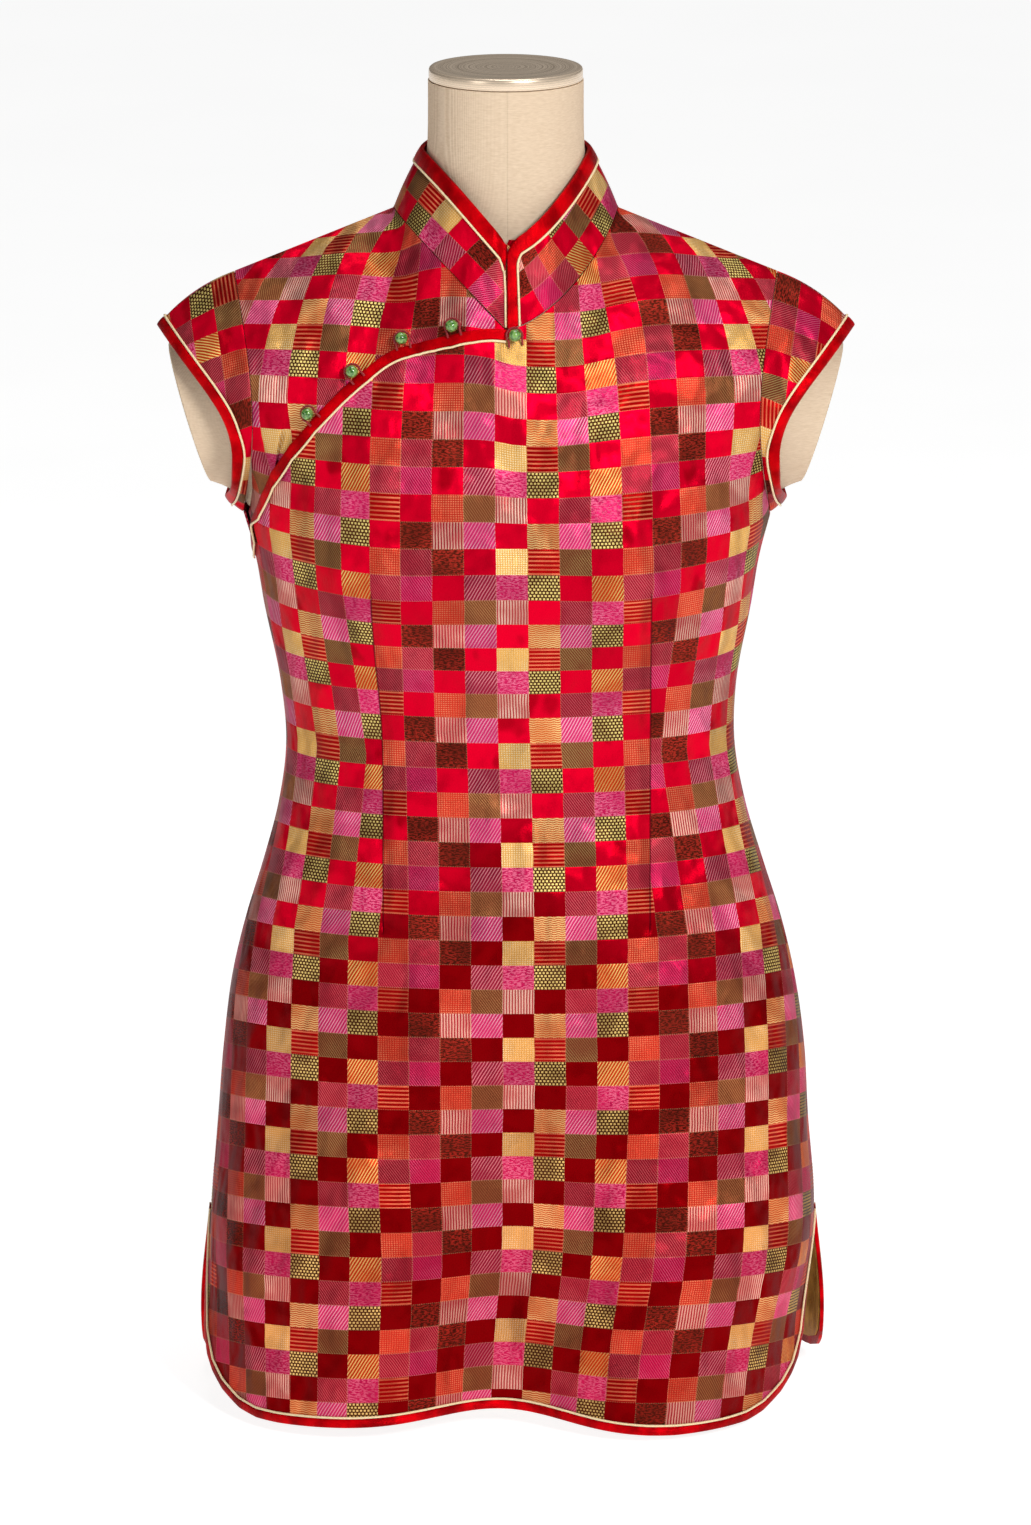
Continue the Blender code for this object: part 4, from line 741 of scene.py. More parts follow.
def brocade_finish(name, cell, darted=False):
    """Checked brocade: a chart of eight by four woven squares, each with its own weave."""
    cloth = Finish(name, 0.42, SATIN_METALLIC, **BROCADE_SHINE)
    vector, (across, down, _) = cloth.places()
    spot, (left, _, height) = cloth.places("Object")
    across = across + (cloth.noise(vector, 90.0, 1.0) - 0.5) * 0.0010
    if darted:
        left, taper, near = waist_darts(cloth, left, height)
        beyond = cloth.math("GREATER_THAN", abs(left), DART_ACROSS)
        across = across + taper * DART_INTAKE * beyond * cloth.math("SIGN", left)
    column_at, row_at = across / cell[0], down / cell[1]
    column, row = cloth.math("FLOOR", column_at), cloth.math("FLOOR", row_at)
    columns, rows = len(CHART[0]), len(CHART)
    number = cloth.math("FLOORED_MODULO", column, columns) + cloth.math("FLOORED_MODULO", row, rows) * columns
    place = (number + 0.5) / (columns * rows)
    checks = [CHECKS[check] for line in CHART for check in line]
    ground = cloth.steps(place, [tint(*check[1]) for check in checks])
    figure = cloth.steps(place, [tint(*check[2]) for check in checks])
    # Painted sheen: soft patches where the figures fade halfway to the ground colour, in place of the silk's
    # shifting highlight.
    painted_sheen = cloth.level(cloth.noise(spot, (34.0, 34.0, 44.0), 1.0), 0.38, 0.60, 0.50, 1.0)
    shares = [WEAVES.index(check[0]) / len(WEAVES) for check in checks]
    weave = cloth.steps(place, [(share, share, share, 1.0) for share in shares])
    mask = None
    for kind, drawn in weave_figures(cloth, vector, across, down).items():
        part = cloth.math("COMPARE", weave, WEAVES.index(kind) / len(WEAVES), SAME_WEAVE) * drawn
        mask = part if mask is None else mask + part
    plain = cloth.math("COMPARE", weave, 0.0, SAME_WEAVE)
    colour = cloth.mix(mask, ground, cloth.mix(painted_sheen, ground, figure))

    # Each square has its own tone at random. The plain red is painted deep red below the waist, from the
    # middle columns outwards, and in small soft patches: painted shade where the satin's sheen falls away,
    # and painted fold shade.
    shade = cloth.feed(cloth.node("ShaderNodeTexWhiteNoise", noise_dimensions="2D"),
                       [cloth.vector(column, row, 0.0)])
    spread = cloth.level(shade, 0.0, 1.0, 0.78, 1.15)
    colour = cloth.scale(colour, spread, spread, spread)
    uneven = cloth.noise(spot, 7.0) + shade * 0.5
    # Painted shade: the plain red turns deep red below the waist, later towards the sides.
    painted_satin_shade = cloth.level(height + uneven * 0.12 + abs(left) * 0.25, 0.43, 0.54, 1.0, 0.0)
    # Painted fold shade: soft patches where the plain red is painted deep red.
    fold = cloth.level(cloth.noise(spot, (38.0, 38.0, 26.0)), 0.60, 0.72, 0.0, 0.60)
    colour = cloth.mix(plain * cloth.math("MAXIMUM", painted_satin_shade, fold), colour, tint(*SHADED_SATIN_RED))
    # Painted shade: green and blue fall from 0.66 at half a metre to 0.52 near the hem, so the brocade
    # darkens lower down; red is scaled by 0.80 throughout.
    low = cloth.level(height, 0.10, 0.50, 0.52, 0.66)
    colour = cloth.scale(colour, 0.80, low, low)

    # Threads, raised figures, sunk edges and loose thread ends where the squares meet.
    from_column, from_row = (cloth.math("PINGPONG", at, 0.5) for at in (column_at, row_at))
    relief = mask + cloth.stripes(across, 0.00055, 0.5, 0.4) * 0.35
    relief = relief + cloth.level(cloth.math("MINIMUM", from_column, from_row), 0.0, 0.06, 0.0, 0.8)
    beside = cloth.stripes(down, 0.0016, 0.5) * cloth.level(from_column, 0.012, 0.03, 1.0, 0.0)
    under = cloth.stripes(across, 0.0016, 0.5) * cloth.level(from_row, 0.015, 0.038, 1.0, 0.0)
    floats = cloth.math("MAXIMUM", beside, under) * (1.0 - plain)
    colour = cloth.mix(floats * 0.15, colour, tint(240, 206, 150))
    relief = relief + cloth.noise(spot, (55.0, 55.0, 18.0)) * 5.0
    waves = cloth.noise(spot, (24.0, 24.0, 8.0), 1.0) + cloth.noise(spot, (60.0, 60.0, 40.0), 1.0) * 0.35
    if darted:
        dart_line_and_shadow = cloth.level(near, 0.0, 0.0010, 1.0, 0.0) * cloth.level(taper, 0.0, 0.06)
        # The dart's line is a real groove in the relief, and a dark red line in the colour that is the
        # painted shadow of its fold.
        colour = cloth.mix(dart_line_and_shadow * 0.75, colour, tint(70, 0, 14))
        relief = relief - dart_line_and_shadow * 4.0
        waves = waves - cloth.level(near, 0.0, 0.009, 0.13, 0.0) * cloth.level(taper, 0.0, 0.1)
    rough = mask * 0.14 + 0.34
    return cloth.finish(colour, relief, 0.00013, rough, 0.8, waves, 0.0170)


def satin_finish(name, lit_colour, shaded_colour, roughness=0.32):
    """Plain satin with fine threads and small puckers along the seam; its colour wanders in soft patches
    between a lit and a shaded tint: painted sheen and painted fold shade.
    """
    satin = Finish(name, roughness, SATIN_METALLIC, **SATIN_SHINE)
    vector, (_, over, _) = satin.places()
    spot, _ = satin.places("Object")
    cloudy = satin.noise(spot, 60.0, 3.0)
    # Painted sheen and shade: soft patches between the lit and the shaded colour.
    colour = satin.mix(satin.level(cloudy, 0.3, 0.7), tint(*shaded_colour), tint(*lit_colour))
    threads = satin.stripes(over, 0.0005, 0.5, 0.4) * 0.25
    puckers = satin.noise(vector, (170.0, 60.0, 1.0)) * 2.2
    rough = satin.level(cloudy, 0.2, 0.8, roughness - 0.06, roughness + 0.10)
    return satin.finish(colour, threads + puckers, 0.00022, rough)


def cord_finish(name, lit_colour, shaded_colour, roughness, twist=0.0009):
    """Twisted cord: slanting strands round the tube, lighter on the strands and darker in the grooves between
    them: painted groove shade.
    """
    cord = Finish(name, roughness, Sheen_Weight=0.1)
    _, (ahead, around, _) = cord.places()
    strands = cord.stripes(ahead + around * twist, twist, 0.5, 0.4)
    return cord.finish(cord.mix(strands * 0.8, tint(*shaded_colour), tint(*lit_colour)), strands, 0.00018)


def jade_finish():
    """Polished jade with cloudy veins."""
    jade = Finish("jade", 0.16, Coat_Weight=0.6, Coat_Roughness=0.08, Subsurface_Weight=0.05)
    spot, _ = jade.places("Object")
    cloudy = jade.noise(spot, 420.0, 4.0)
    veins = jade.noise(spot, 900.0)
    colour = jade.mix(jade.level(cloudy, 0.35, 0.65), tint(34, 84, 30), tint(118, 164, 84))
    return jade.finish(colour, veins, 0.00004, jade.level(veins, 0.3, 0.7, 0.12, 0.24))


def linen_finish():
    """Close beige linen of the dress form, with a faint seam down its front."""
    linen = Finish("form linen", 0.85, Specular_IOR_Level=0.2)
    spot, (left, ahead, height) = linen.places("Object")
    warp = linen.stripes(left + ahead * 0.7, 0.0008, 0.5, 0.45)
    weave = warp + linen.stripes(height, 0.0008, 0.5, 0.45)
    tone = weave * 0.2 + linen.noise(spot, (240.0, 240.0, 1400.0), 3.0) * 0.6
    colour = linen.mix(linen.level(tone, 0.2, 0.8), tint(206, 180, 150), tint(230, 208, 182))
    seam = linen.level(abs(left - 0.001), 0.0, 0.0009, 1.0, 0.0)
    colour = linen.mix(seam * 0.18, colour, tint(160, 136, 110))
    return linen.finish(colour, weave - seam * 1.2, 0.00012)


def thread_finish():
    """Pale sewing thread."""
    thread = Finish("sewing thread", 0.6)
    spot, _ = thread.places("Object")
    fuzz = thread.noise(spot, 1800.0)
    colour = thread.mix(thread.level(fuzz, 0.3, 0.7), tint(226, 208, 184), tint(250, 242, 228))
    return thread.finish(colour, fuzz, 0.00005)


def steel_finish():
    """Brushed steel of the neck cap, with round brushing on its top."""
    steel = Finish("brushed steel", 0.36, 0.62)
    _, (left, ahead, height) = steel.places("Object")
    radius = steel.math("SQRT", left * left + ahead * ahead)
    brushing = steel.noise(steel.vector(radius, height, 0.0), (2600.0, 2600.0, 1.0), 4.0)
    colour = steel.mix(steel.level(brushing, 0.3, 0.7), tint(206, 184, 158), tint(244, 224, 200))
    return steel.finish(colour, brushing, 0.00003, steel.level(brushing, 0.3, 0.7, 0.22, 0.38))


# ---------------------------------------------------------------- meshes
def place_object(name, data):
    """Put an object in the scene."""
    made = bpy.data.objects.new(name, data)
    bpy.context.scene.collection.objects.link(made)
    return made


def stand_for(name, mesh, node, sharp):
    """Make a smooth piece of a mesh, sharp past an angle; it stands for a node."""
    mesh.shade_smooth()
    mesh.set_sharp_from_angle(angle=math.radians(sharp))
    piece = place_object(name, mesh)
    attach(piece, "root")
    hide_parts(node)
    return piece


def add_piece(name, vertices, faces, places, finishes, kinds, node):
    """Make one piece from points, faces, map places and finishes."""
    mesh = bpy.data.meshes.new(name)
    mesh.from_pydata(np.asarray(vertices, float).tolist(), [], faces)
    for finish in finishes:
        mesh.materials.append(finish)
    mesh.polygons.foreach_set("material_index", np.asarray(kinds, np.int32))
    corners = np.empty(len(mesh.loops), np.int32)
    mesh.loops.foreach_get("vertex_index", corners)
    layer = mesh.uv_layers.new(name="cloth")
    layer.data.foreach_set("uv", np.asarray(places, np.float32)[corners].ravel())
    return stand_for(name, mesh, node, 50)


def add_shape(name, shape, finish, node):
    """Make one piece from a closed bmesh."""
    mesh = bpy.data.meshes.new(name)
    shape.to_mesh(mesh)
    shape.free()
    mesh.materials.append(finish)
    return stand_for(name, mesh, node, 40)


def ring_faces(rows, columns, closed_rows=False, closed_columns=False):
    """Quads between the rows and columns of a grid of points."""
    spans = columns if closed_columns else columns - 1
    steps = rows if closed_rows else rows - 1
    row, column = np.meshgrid(np.arange(steps), np.arange(spans), indexing="ij")
    row, column = row.ravel(), column.ravel()
    after, ahead = (row + 1) % rows, (column + 1) % columns
    return np.stack([row * columns + column, row * columns + ahead,
                     after * columns + ahead, after * columns + column], axis=1)


def cloth_wall(name, cloth, wall, outside, inside, node):
    """A cloth wall with an outside and an inside face of their own finishes."""
    rows, columns = cloth.outer.shape[:2]
    vertices = np.concatenate([cloth.outer.reshape(-1, 3), (cloth.outer - cloth.out * wall).reshape(-1, 3)])
    places = np.concatenate([cloth.chart.reshape(-1, 2)] * 2)
    outer = ring_faces(rows, columns, closed_columns=cloth.closed)
    shift = rows * columns
    inner = outer[:, ::-1] + shift
    rims = []
    spans = columns if cloth.closed else columns - 1
    for row, order in ((0, -1), (rows - 1, 1)):
        first = row * columns + np.arange(spans)
        after = row * columns + (np.arange(spans) + 1) % columns
        rims.append(np.stack([first, after, after + shift, first + shift], axis=1)[:, ::order])
    if not cloth.closed:
        for column, order in ((0, 1), (columns - 1, -1)):
            first = np.arange(rows - 1) * columns + column
            rims.append(np.stack([first, first + columns, first + columns + shift, first + shift],
                                 axis=1)[:, ::order])
    rims = np.concatenate(rims)
    faces = np.concatenate([outer, inner, rims])
    kinds = np.concatenate([np.zeros(len(outer)), np.ones(len(inner)), np.zeros(len(rims))])
    if facing_share(vertices, outer, cloth.out.reshape(-1, 3)) < 0.5:
        faces = faces[:, ::-1]
    return add_piece(name, vertices, faces.tolist(), places, [outside, inside], kinds, node)


def facing_share(vertices, faces, out):
    """Share of faces that look the same way as the outward directions at their corners."""
    corner = vertices[faces]
    normal = np.cross(corner[:, 1] - corner[:, 0], corner[:, 3] - corner[:, 0])
    return float(((normal * out[faces[:, 0]]).sum(axis=1) > 0).mean())


def sweep(name, centres, profile, finish, node, closed=False):
    """A solid along a line: profile gives each station's ring of points."""
    rings = np.asarray(profile)
    count, sides = rings.shape[:2]
    faces = ring_faces(count, sides, closed, True).tolist()
    reach = np.meshgrid(distances(centres), distances(rings[0]), indexing="ij")
    places = np.stack(reach, axis=-1).reshape(-1, 2)
    if not closed:
        faces.append(list(range(sides))[::-1])
        faces.append(list(range((count - 1) * sides, count * sides)))
    piece = add_piece(name, rings.reshape(-1, 3), faces, places, [finish], np.zeros(len(faces)), node)
    face_out(piece.data)
    return piece


def face_out(mesh):
    """Turn a closed mesh's faces outwards."""
    shape = bmesh.new()
    shape.from_mesh(mesh)
    bmesh.ops.recalc_face_normals(shape, faces=shape.faces)
    shape.to_mesh(mesh)
    shape.free()


def cord_along(name, centres, radius, finish, node, closed=False):
    """A round cord through a line of points."""
    tangents = course_of(centres, closed)
    guide = np.array([0.0, 0.0, 1.0]) if abs(tangents[0][2]) < 0.8 else np.array([1.0, 0.0, 0.0])
    angles = np.arange(CORD_SIDES) * 2 * math.pi / CORD_SIDES
    rings = []
    for centre, tangent in zip(centres, tangents):
        side = unit(np.cross(tangent, guide))
        guide = unit(np.cross(side, tangent))
        rings.append(centre + radius * (np.outer(np.cos(angles), side) + np.outer(np.sin(angles), guide)))
    return sweep(name, centres, rings, finish, node, closed)


def course_of(line, closed):
    """Direction along a line of points."""
    if closed:
        return unit(np.roll(line, -1, axis=0) - np.roll(line, 1, axis=0))
    steps = unit(np.diff(line, axis=0))
    return unit(np.concatenate([steps[:1], steps[:-1] + steps[1:], steps[-1:]]))


# ---------------------------------------------------------------- cloth pieces
TRIM_FINENESS = 6              # fine steps of a trim to each of its places
# A binding's rounded top: share of its width from the inside line, and height.
BINDING_TOP = ((0.0, 0.0005), (0.04, 0.0008), (0.14, 0.00105), (0.35, 0.00118), (0.60, 0.00118),
               (0.82, 0.00105), (0.94, 0.0008))


class Cloth:
    """A cloth on a fine grid, whose places are counted in coarse rows and columns."""

    def __init__(self, outer, out, chart, closed=False):
        self.outer = outer
        self.out = out
        self.chart = chart
        self.flat = chart
        self.closed = closed

    def read(self, places):
        """Points and outward directions at coarse places, which may lie between grid points."""
        places = np.asarray(places, float)
        rows = len(self.outer)
        row = places[:, 0] * FINENESS[0]
        row = np.where(row < -0.5, row + rows - 1 + FINENESS[0], row)
        column = places[:, 1] * FINENESS[1]
        outer, out = self.outer, self.out
        if self.closed:
            outer, out = (np.concatenate([grid, grid[:, :1]], axis=1) for grid in (outer, out))
        return read_grid(outer, row, column), unit(read_grid(out, row, column))

    def lines(self, edge, inside):
        """Fine points and outward directions along an edge and an inside line."""
        found = []
        for places in (edge, inside):
            places = np.array(places, float)
            if self.closed:
                places = np.concatenate([places, places[:1] + [0.0, len(places)]])
            fine = np.stack([refine_line(places[:, axis], TRIM_FINENESS) for axis in (0, 1)], axis=1)
            if self.closed:
                fine = fine[:-1]
            found.append(self.read(fine))
        return found

    def bind(self, stem, edge, inside, satin, lift=GAP, wrap=0.00034):
        """A satin binding, rounded over the cloth's edge."""
        (edge_points, edge_out), (inside_points, inside_out) = self.lines(edge, inside)
        wrap = wrap / float(np.linalg.norm(edge_points - inside_points, axis=1).mean())
        profile = [(0.0, lift * 0.5)] + [(share, lift + height) for share, height in BINDING_TOP]
        profile += [(1.0 + 0.6 * wrap, lift + 0.0004), (1.0 + wrap, 0.0), (1.0 + wrap, -WALL),
                    (1.0 + 0.3 * wrap, -WALL), (1.0 + 0.3 * wrap, lift * 0.5)]
        rings = []
        for share, height in profile:
            out = unit(inside_out * max(1 - share, 0) + edge_out * min(share, 1))
            rings.append(inside_points + (edge_points - inside_points) * share + out * height)
        rings = np.stack(rings, axis=1)
        node = stem + "_binding"
        return sweep(node + "_satin", edge_points, rings, satin, node, self.closed)

    def pipe(self, stem, edge, inside, cord, spare=0.0):
        """Piping laid beside a binding's inside line."""
        (edge_points, _), (line, out) = self.lines(edge, inside)
        inward = unit(np.cross(out, course_of(line, self.closed)))
        inward = inward * np.sign(((line - edge_points) * inward).sum())
        lift = PIPING_RADIUS + PIPING_ABOVE + spare
        centres = line + inward * (PIPING_RADIUS + PIPING_BESIDE) + out * lift
        return cord_along(stem + "_piping_cord", centres, PIPING_RADIUS, cord, stem + "_piping",
                          closed=self.closed)


def panel_cloth(side, turns, rises, inset=0.0):
    """The fine cloth of a panel piece."""
    depth = refine(np.asarray(inset) * np.ones(turns.shape))
    turns, rises = refine(turns), refine(rises)
    outer = on_surface(side, turns, rises, -depth)
    out = unit(outer - on_surface(side, turns, rises, -depth - WALL))
    cloth = Cloth(outer, out, chart_place(side, turns, rises))
    cloth.flat = flat_place(side, turns, rises)
    return cloth


def cut_area(cloth):
    """Width, length and area of a cloth's flat cut."""
    chart = cloth.flat
    first, second = chart[1:, 1:] - chart[:-1, :-1], chart[1:, :-1] - chart[:-1, 1:]
    area = np.abs(first[..., 0] * second[..., 1] - first[..., 1] * second[..., 0]).sum() / 2
    size = np.ptp(chart.reshape(-1, 2), axis=0)
    return (float(size[0]), float(size[1])), float(area)


def corner_drop(inward, radius):
    """How far a rounded corner falls below its edge's line, by distance in from the end."""
    reach = np.clip(radius - inward, 0.0, radius)
    return radius - np.sqrt(radius ** 2 - reach ** 2)


def corner_heights(inward):
    """Heights of a rounded hem corner's edge and of its binding's inside line above the hem."""
    angle = np.linspace(0.0, math.pi / 2, 121)
    edge = np.stack([CORNER_REACH * (1 - np.cos(angle)), CORNER_RADIUS * (1 - np.sin(angle))], axis=1)
    into = unit(np.stack([np.cos(angle) / CORNER_REACH, np.sin(angle) / CORNER_RADIUS], axis=1))
    inside = edge + into * HEM_BINDING_WIDTH
    return (np.interp(inward, edge[:, 0], edge[:, 1]),
            np.interp(inward, inside[:, 0], inside[:, 1]))


SIDE_STEPS = (0.0, HEM_BINDING_WIDTH, 0.015, 0.029, 0.050)   # panel columns, in from the side seam
NECK_TURNS = (0.0, 0.03, 0.08, 0.14, 0.20, 0.26, 0.31, NECK_TURN)
BODY_TURNS = (0.43, 0.50, 0.57, 0.65, 0.73, 0.80)


def panel_turns(side):
    """Turn of each panel column: close together at the slits and on the neck."""
    girth = half_girth(side, HEM)
    edge = [1.0 - step / girth for step in SIDE_STEPS]
    half = [*NECK_TURNS, *BODY_TURNS] + edge[::-1]
    return np.array([-turn for turn in half[:0:-1]] + half)


def lower_heights():
    """Heights of the panel rows from the third row up to the underarm."""
    slit = np.linspace(CORNER_RADIUS + HEM + HEM_BINDING_WIDTH + 0.004, SLIT_TOP, 4)
    return np.concatenate([slit, np.linspace(SLIT_TOP, UNDERARM, 13)[1:]])


def hem_rows(side, turns):
    """Heights of the two lowest rows, which follow the rounded corners."""
    inward = (1.0 - np.abs(turns)) * half_girth(side, HEM)
    edge, inside = corner_heights(inward)
    inside = np.where(inward < HEM_BINDING_WIDTH / 2, inside + HEM_BINDING_WIDTH, inside)
    level = HEM + (read_table(FRONT_HEM, FRONT_HEM_COLUMNS, "rise", turns) if side == FRONT else 0.0)
    return level + edge, level + inside


UPPER_PANEL_RISES = np.array([1.0, 1.13, 1.28, 1.44, 1.60, 1.76, 1.88, 1.955, 2.0])
PANEL_ROWS = 2 + len(lower_heights()) + len(UPPER_PANEL_RISES) - 1


def panel_rises(side, turns):
    """Rises of a whole panel's rows, from the hem to the top seam."""
    rows = [*hem_rows(side, turns)] + [np.full(len(turns), height) for height in lower_heights()]
    rises = (np.array(rows) - HEM) / (UNDERARM - HEM)
    return np.concatenate([rises, np.repeat(UPPER_PANEL_RISES[1:, None], len(turns), axis=1)])


def opening_rise(turns):
    """Rise of the opening's edge at turns from -1 to 0; the top seam elsewhere."""
    heights = read_table(OPENING, OPENING_COLUMNS, "height", np.clip(turns, -1, 0))
    rises = rise_at_height(np.minimum(turns, 0.0), heights)
    return np.where(turns < -1e-6, np.minimum(rises, 2.0), 2.0)


def opening_places(turns):
    """Plumb turns and rises where the right front's columns meet the opening's edge."""
    trail = np.linspace(0.0, -1.0, 161)
    rises = opening_rise(trail)
    points = on_surface(FRONT, plumb(trail, rises), rises)
    reach = distances(points)
    corner = np.interp(NECK_TURN, -trail, reach)
    spread = corner + (reach[-1] - corner) * (-turns - NECK_TURN) / (1 - NECK_TURN)
    wanted = np.where(turns > -NECK_TURN, np.interp(-turns, -trail, reach), spread)
    return np.interp(wanted, reach, trail), np.interp(wanted, reach, rises)


ANCHOR_ROW = 9                                     # front rows up to here stay level


def front_path(turns, shares):
    """Turns and rises along right front columns, from the anchor row (0) to the edge (1)."""
    edge_turns, edge_rises = opening_places(turns)
    level = (lower_heights()[ANCHOR_ROW - 2] - HEM) / (UNDERARM - HEM)
    rises = level + (edge_rises - level) * shares
    return plumb(turns + (edge_turns - turns) * shares, rises), rises


def front_grid():
    """Turns and rises of the main front, whose top edge on the right is the opening."""
    turns = panel_turns(FRONT)
    rises, turns = panel_rises(FRONT, turns), np.repeat(turns[None, :], PANEL_ROWS, axis=0)
    right = turns[0] < 1e-6
    shares = (rises[ANCHOR_ROW:, -1] - rises[ANCHOR_ROW, -1]) / (2.0 - rises[ANCHOR_ROW, -1])
    shares = np.repeat(shares[:, None], right.sum(), axis=1)
    shares[:-1] *= below_edge(turns[0, right], BINDING_WIDTH) / shares[-2]
    turns[ANCHOR_ROW:, right], rises[ANCHOR_ROW:, right] = front_path(turns[0, right], shares)
    return turns, rises


def below_edge(turns, distance):
    """Shares of right front columns at a distance square to the opening's edge."""
    edge = on_surface(FRONT, *front_path(turns, np.ones(len(turns))))
    shares = np.linspace(1.0, 0.0, 101)
    found = []
    for turn, point, ahead in zip(turns, edge, course_of(edge, False)):
        reach = on_surface(FRONT, *front_path(np.full(101, turn), shares)) - point
        square = np.linalg.norm(reach - np.outer(reach @ ahead, ahead), axis=1)
        found.append(np.interp(distance, square, shares))
    return np.array(found)


SLIT_ROWS = 5                                      # panel rows from the corner up to the slit's top


def bind_hem(cloth, stem, columns, satin, cord):
    """Trim down one slit edge, round the corner, along the hem and up the other slit edge."""
    last = columns - 1
    up = list(range(SLIT_ROWS, 0, -1))
    edge = [(row, 0) for row in up] + [(0, column) for column in range(columns)]
    edge += [(row, last) for row in reversed(up)]
    side_rows = [1.2 if row == 1 else row for row in up]
    inside = [(row, 1) for row in side_rows] + [(1, 1), (1, 1.5)]
    inside += [(1, column) for column in range(2, columns - 2)]
    inside += [(1, last - 1.5), (1, last - 1)] + [(row, last - 1) for row in reversed(side_rows)]
    return [cloth.bind(stem, edge, inside, satin, wrap=0.00012), cloth.pipe(stem, edge, inside, cord)]


def make_front(brocade, inner, satin, cord):
    """The main front, its hem and slit trim, and the opening's trim."""
    turns, rises = front_grid()
    cloth = panel_cloth(FRONT, turns, rises)
    piece = cloth_wall("front_cloth", cloth, WALL, brocade, inner, "front_panel")
    columns = turns.shape[1]
    trims = bind_hem(cloth, "front_hem", columns, satin, cord)
    middle = columns // 2
    edge = [(-1, column) for column in range(0, middle + 1)]
    inside = [(-2, column) for column in range(0, middle + 1)]
    trims.append(cloth.bind("opening", edge, inside, satin))
    trims.append(cloth.pipe("opening", edge, inside, cord, 2 * GAP))
    declare(cloth)


def declare(cloth):
    """Work out the size and area of a cloth's flat cut, which nothing uses."""
    size, area = cut_area(cloth)


def make_back(brocade, inner, satin, cord, gold):
    """The back panel, its hem and slit trim, and the lining that shows at the slits."""
    turns = panel_turns(BACK)
    rises, turns = panel_rises(BACK, turns), np.repeat(turns[None, :], PANEL_ROWS, axis=0)
    cloth = panel_cloth(BACK, turns, rises)
    piece = cloth_wall("back_cloth", cloth, WALL, brocade, inner, "back_panel")
    trims = bind_hem(cloth, "back_hem", turns.shape[1], satin, cord)
    declare(cloth)
    lining = panel_cloth(BACK, turns[1:8, 1:-1], rises[1:8, 1:-1], WALL + GAP)
    piece = cloth_wall("back_lining_satin", lining, LINING_WALL, gold, gold, "back_lining")
    declare(lining)


def make_underlap(brocade, inner):
    """The right front, which passes beneath the opening's edge; gives its rises at the armhole."""
    turns = panel_turns(FRONT)
    turns = turns[turns < 1e-6]
    edge_turns, edge = front_path(turns, np.ones(len(turns)))
    low_shares = below_edge(turns, UNDERLAP_DEPTH)
    _, low = front_path(turns, low_shares)
    shares = np.concatenate([[0.0], (UPPER_PANEL_RISES - low[0]) / (2.0 - low[0])])
    rises = low + (2.0 - low) * shares[:, None]
    below = np.clip((rises - low) / (edge - low), 0.0, 1.0)
    above = np.clip((rises - edge) / np.maximum(2.0 - edge, 1e-6), 0.0, 1.0)
    tucked_turns, _ = front_path(turns, low_shares + (1.0 - low_shares) * below)
    grid_turns = np.where(above > 0.0, edge_turns + (turns - edge_turns) * above, tucked_turns)
    sunk = UNDERLAP_SUNK["depth"] * ease((-grid_turns - UNDERLAP_SUNK["turn"]) / UNDERLAP_SUNK["spread"])
    inset = WALL + 3 * GAP + sunk
    inset = inset * (1.0 - ease((rises - edge - UNDERLAP_OUT["rise"]) / UNDERLAP_OUT["spread"]))
    cloth = panel_cloth(FRONT, grid_turns, rises, inset)
    piece = cloth_wall("underlap_cloth", cloth, WALL, brocade, inner, "underlap")
    declare(cloth)
    return rises[1:, 0]


def grid_normals(grid, closed):
    """Unit normals of a grid of points; rows first, then columns."""
    if closed:
        across = np.roll(grid, -1, axis=1) - np.roll(grid, 1, axis=1)
    else:
        across = np.gradient(grid, axis=1)
    return unit(np.cross(np.gradient(grid, axis=0), across))


def sleeve_edge(side, hand, rises):
    """Free edge of the sleeve, matched to rises on the armhole."""
    step = 2.0 - np.asarray(rises)
    across, forward, height = (read_table(SLEEVE_EDGE, SLEEVE_COLUMNS, column, step)
                               for column in SLEEVE_COLUMNS[1:])
    share = 1.0 if side == FRONT else ARMHOLE_BACKWARD / ARMHOLE_FORWARD
    return np.stack([hand * across, side * share * forward, height], axis=-1)


def half_sleeve(side, hand, rises, shares):
    """Rows from the armhole seam to the free edge, over one side's rises."""
    seam = on_surface(side, np.full(len(rises), hand), rises)
    facing = unit(seam - on_surface(side, np.full(len(rises), hand), rises, -PROBE))
    edge = sleeve_edge(side, hand, rises)
    chord = edge - seam
    length = np.linalg.norm(chord, axis=1, keepdims=True)
    ahead = chord / length
    lift = unit(facing - ahead * (facing * ahead).sum(axis=1, keepdims=True))
    middle = (seam + edge) / 2 + lift * length * SLEEVE_SWELL
    bound = np.maximum(1.0 - BINDING_WIDTH / length, SLEEVE_UNBOUND)
    rows = []
    for share in shares:
        part = bound * min(share, 1.0) + (1.0 - bound) * max(share - 1.0, 0.0)
        rows.append(seam * (1 - part) ** 2 + middle * 2 * part * (1 - part) + edge * part ** 2)
    return np.array(rows), facing


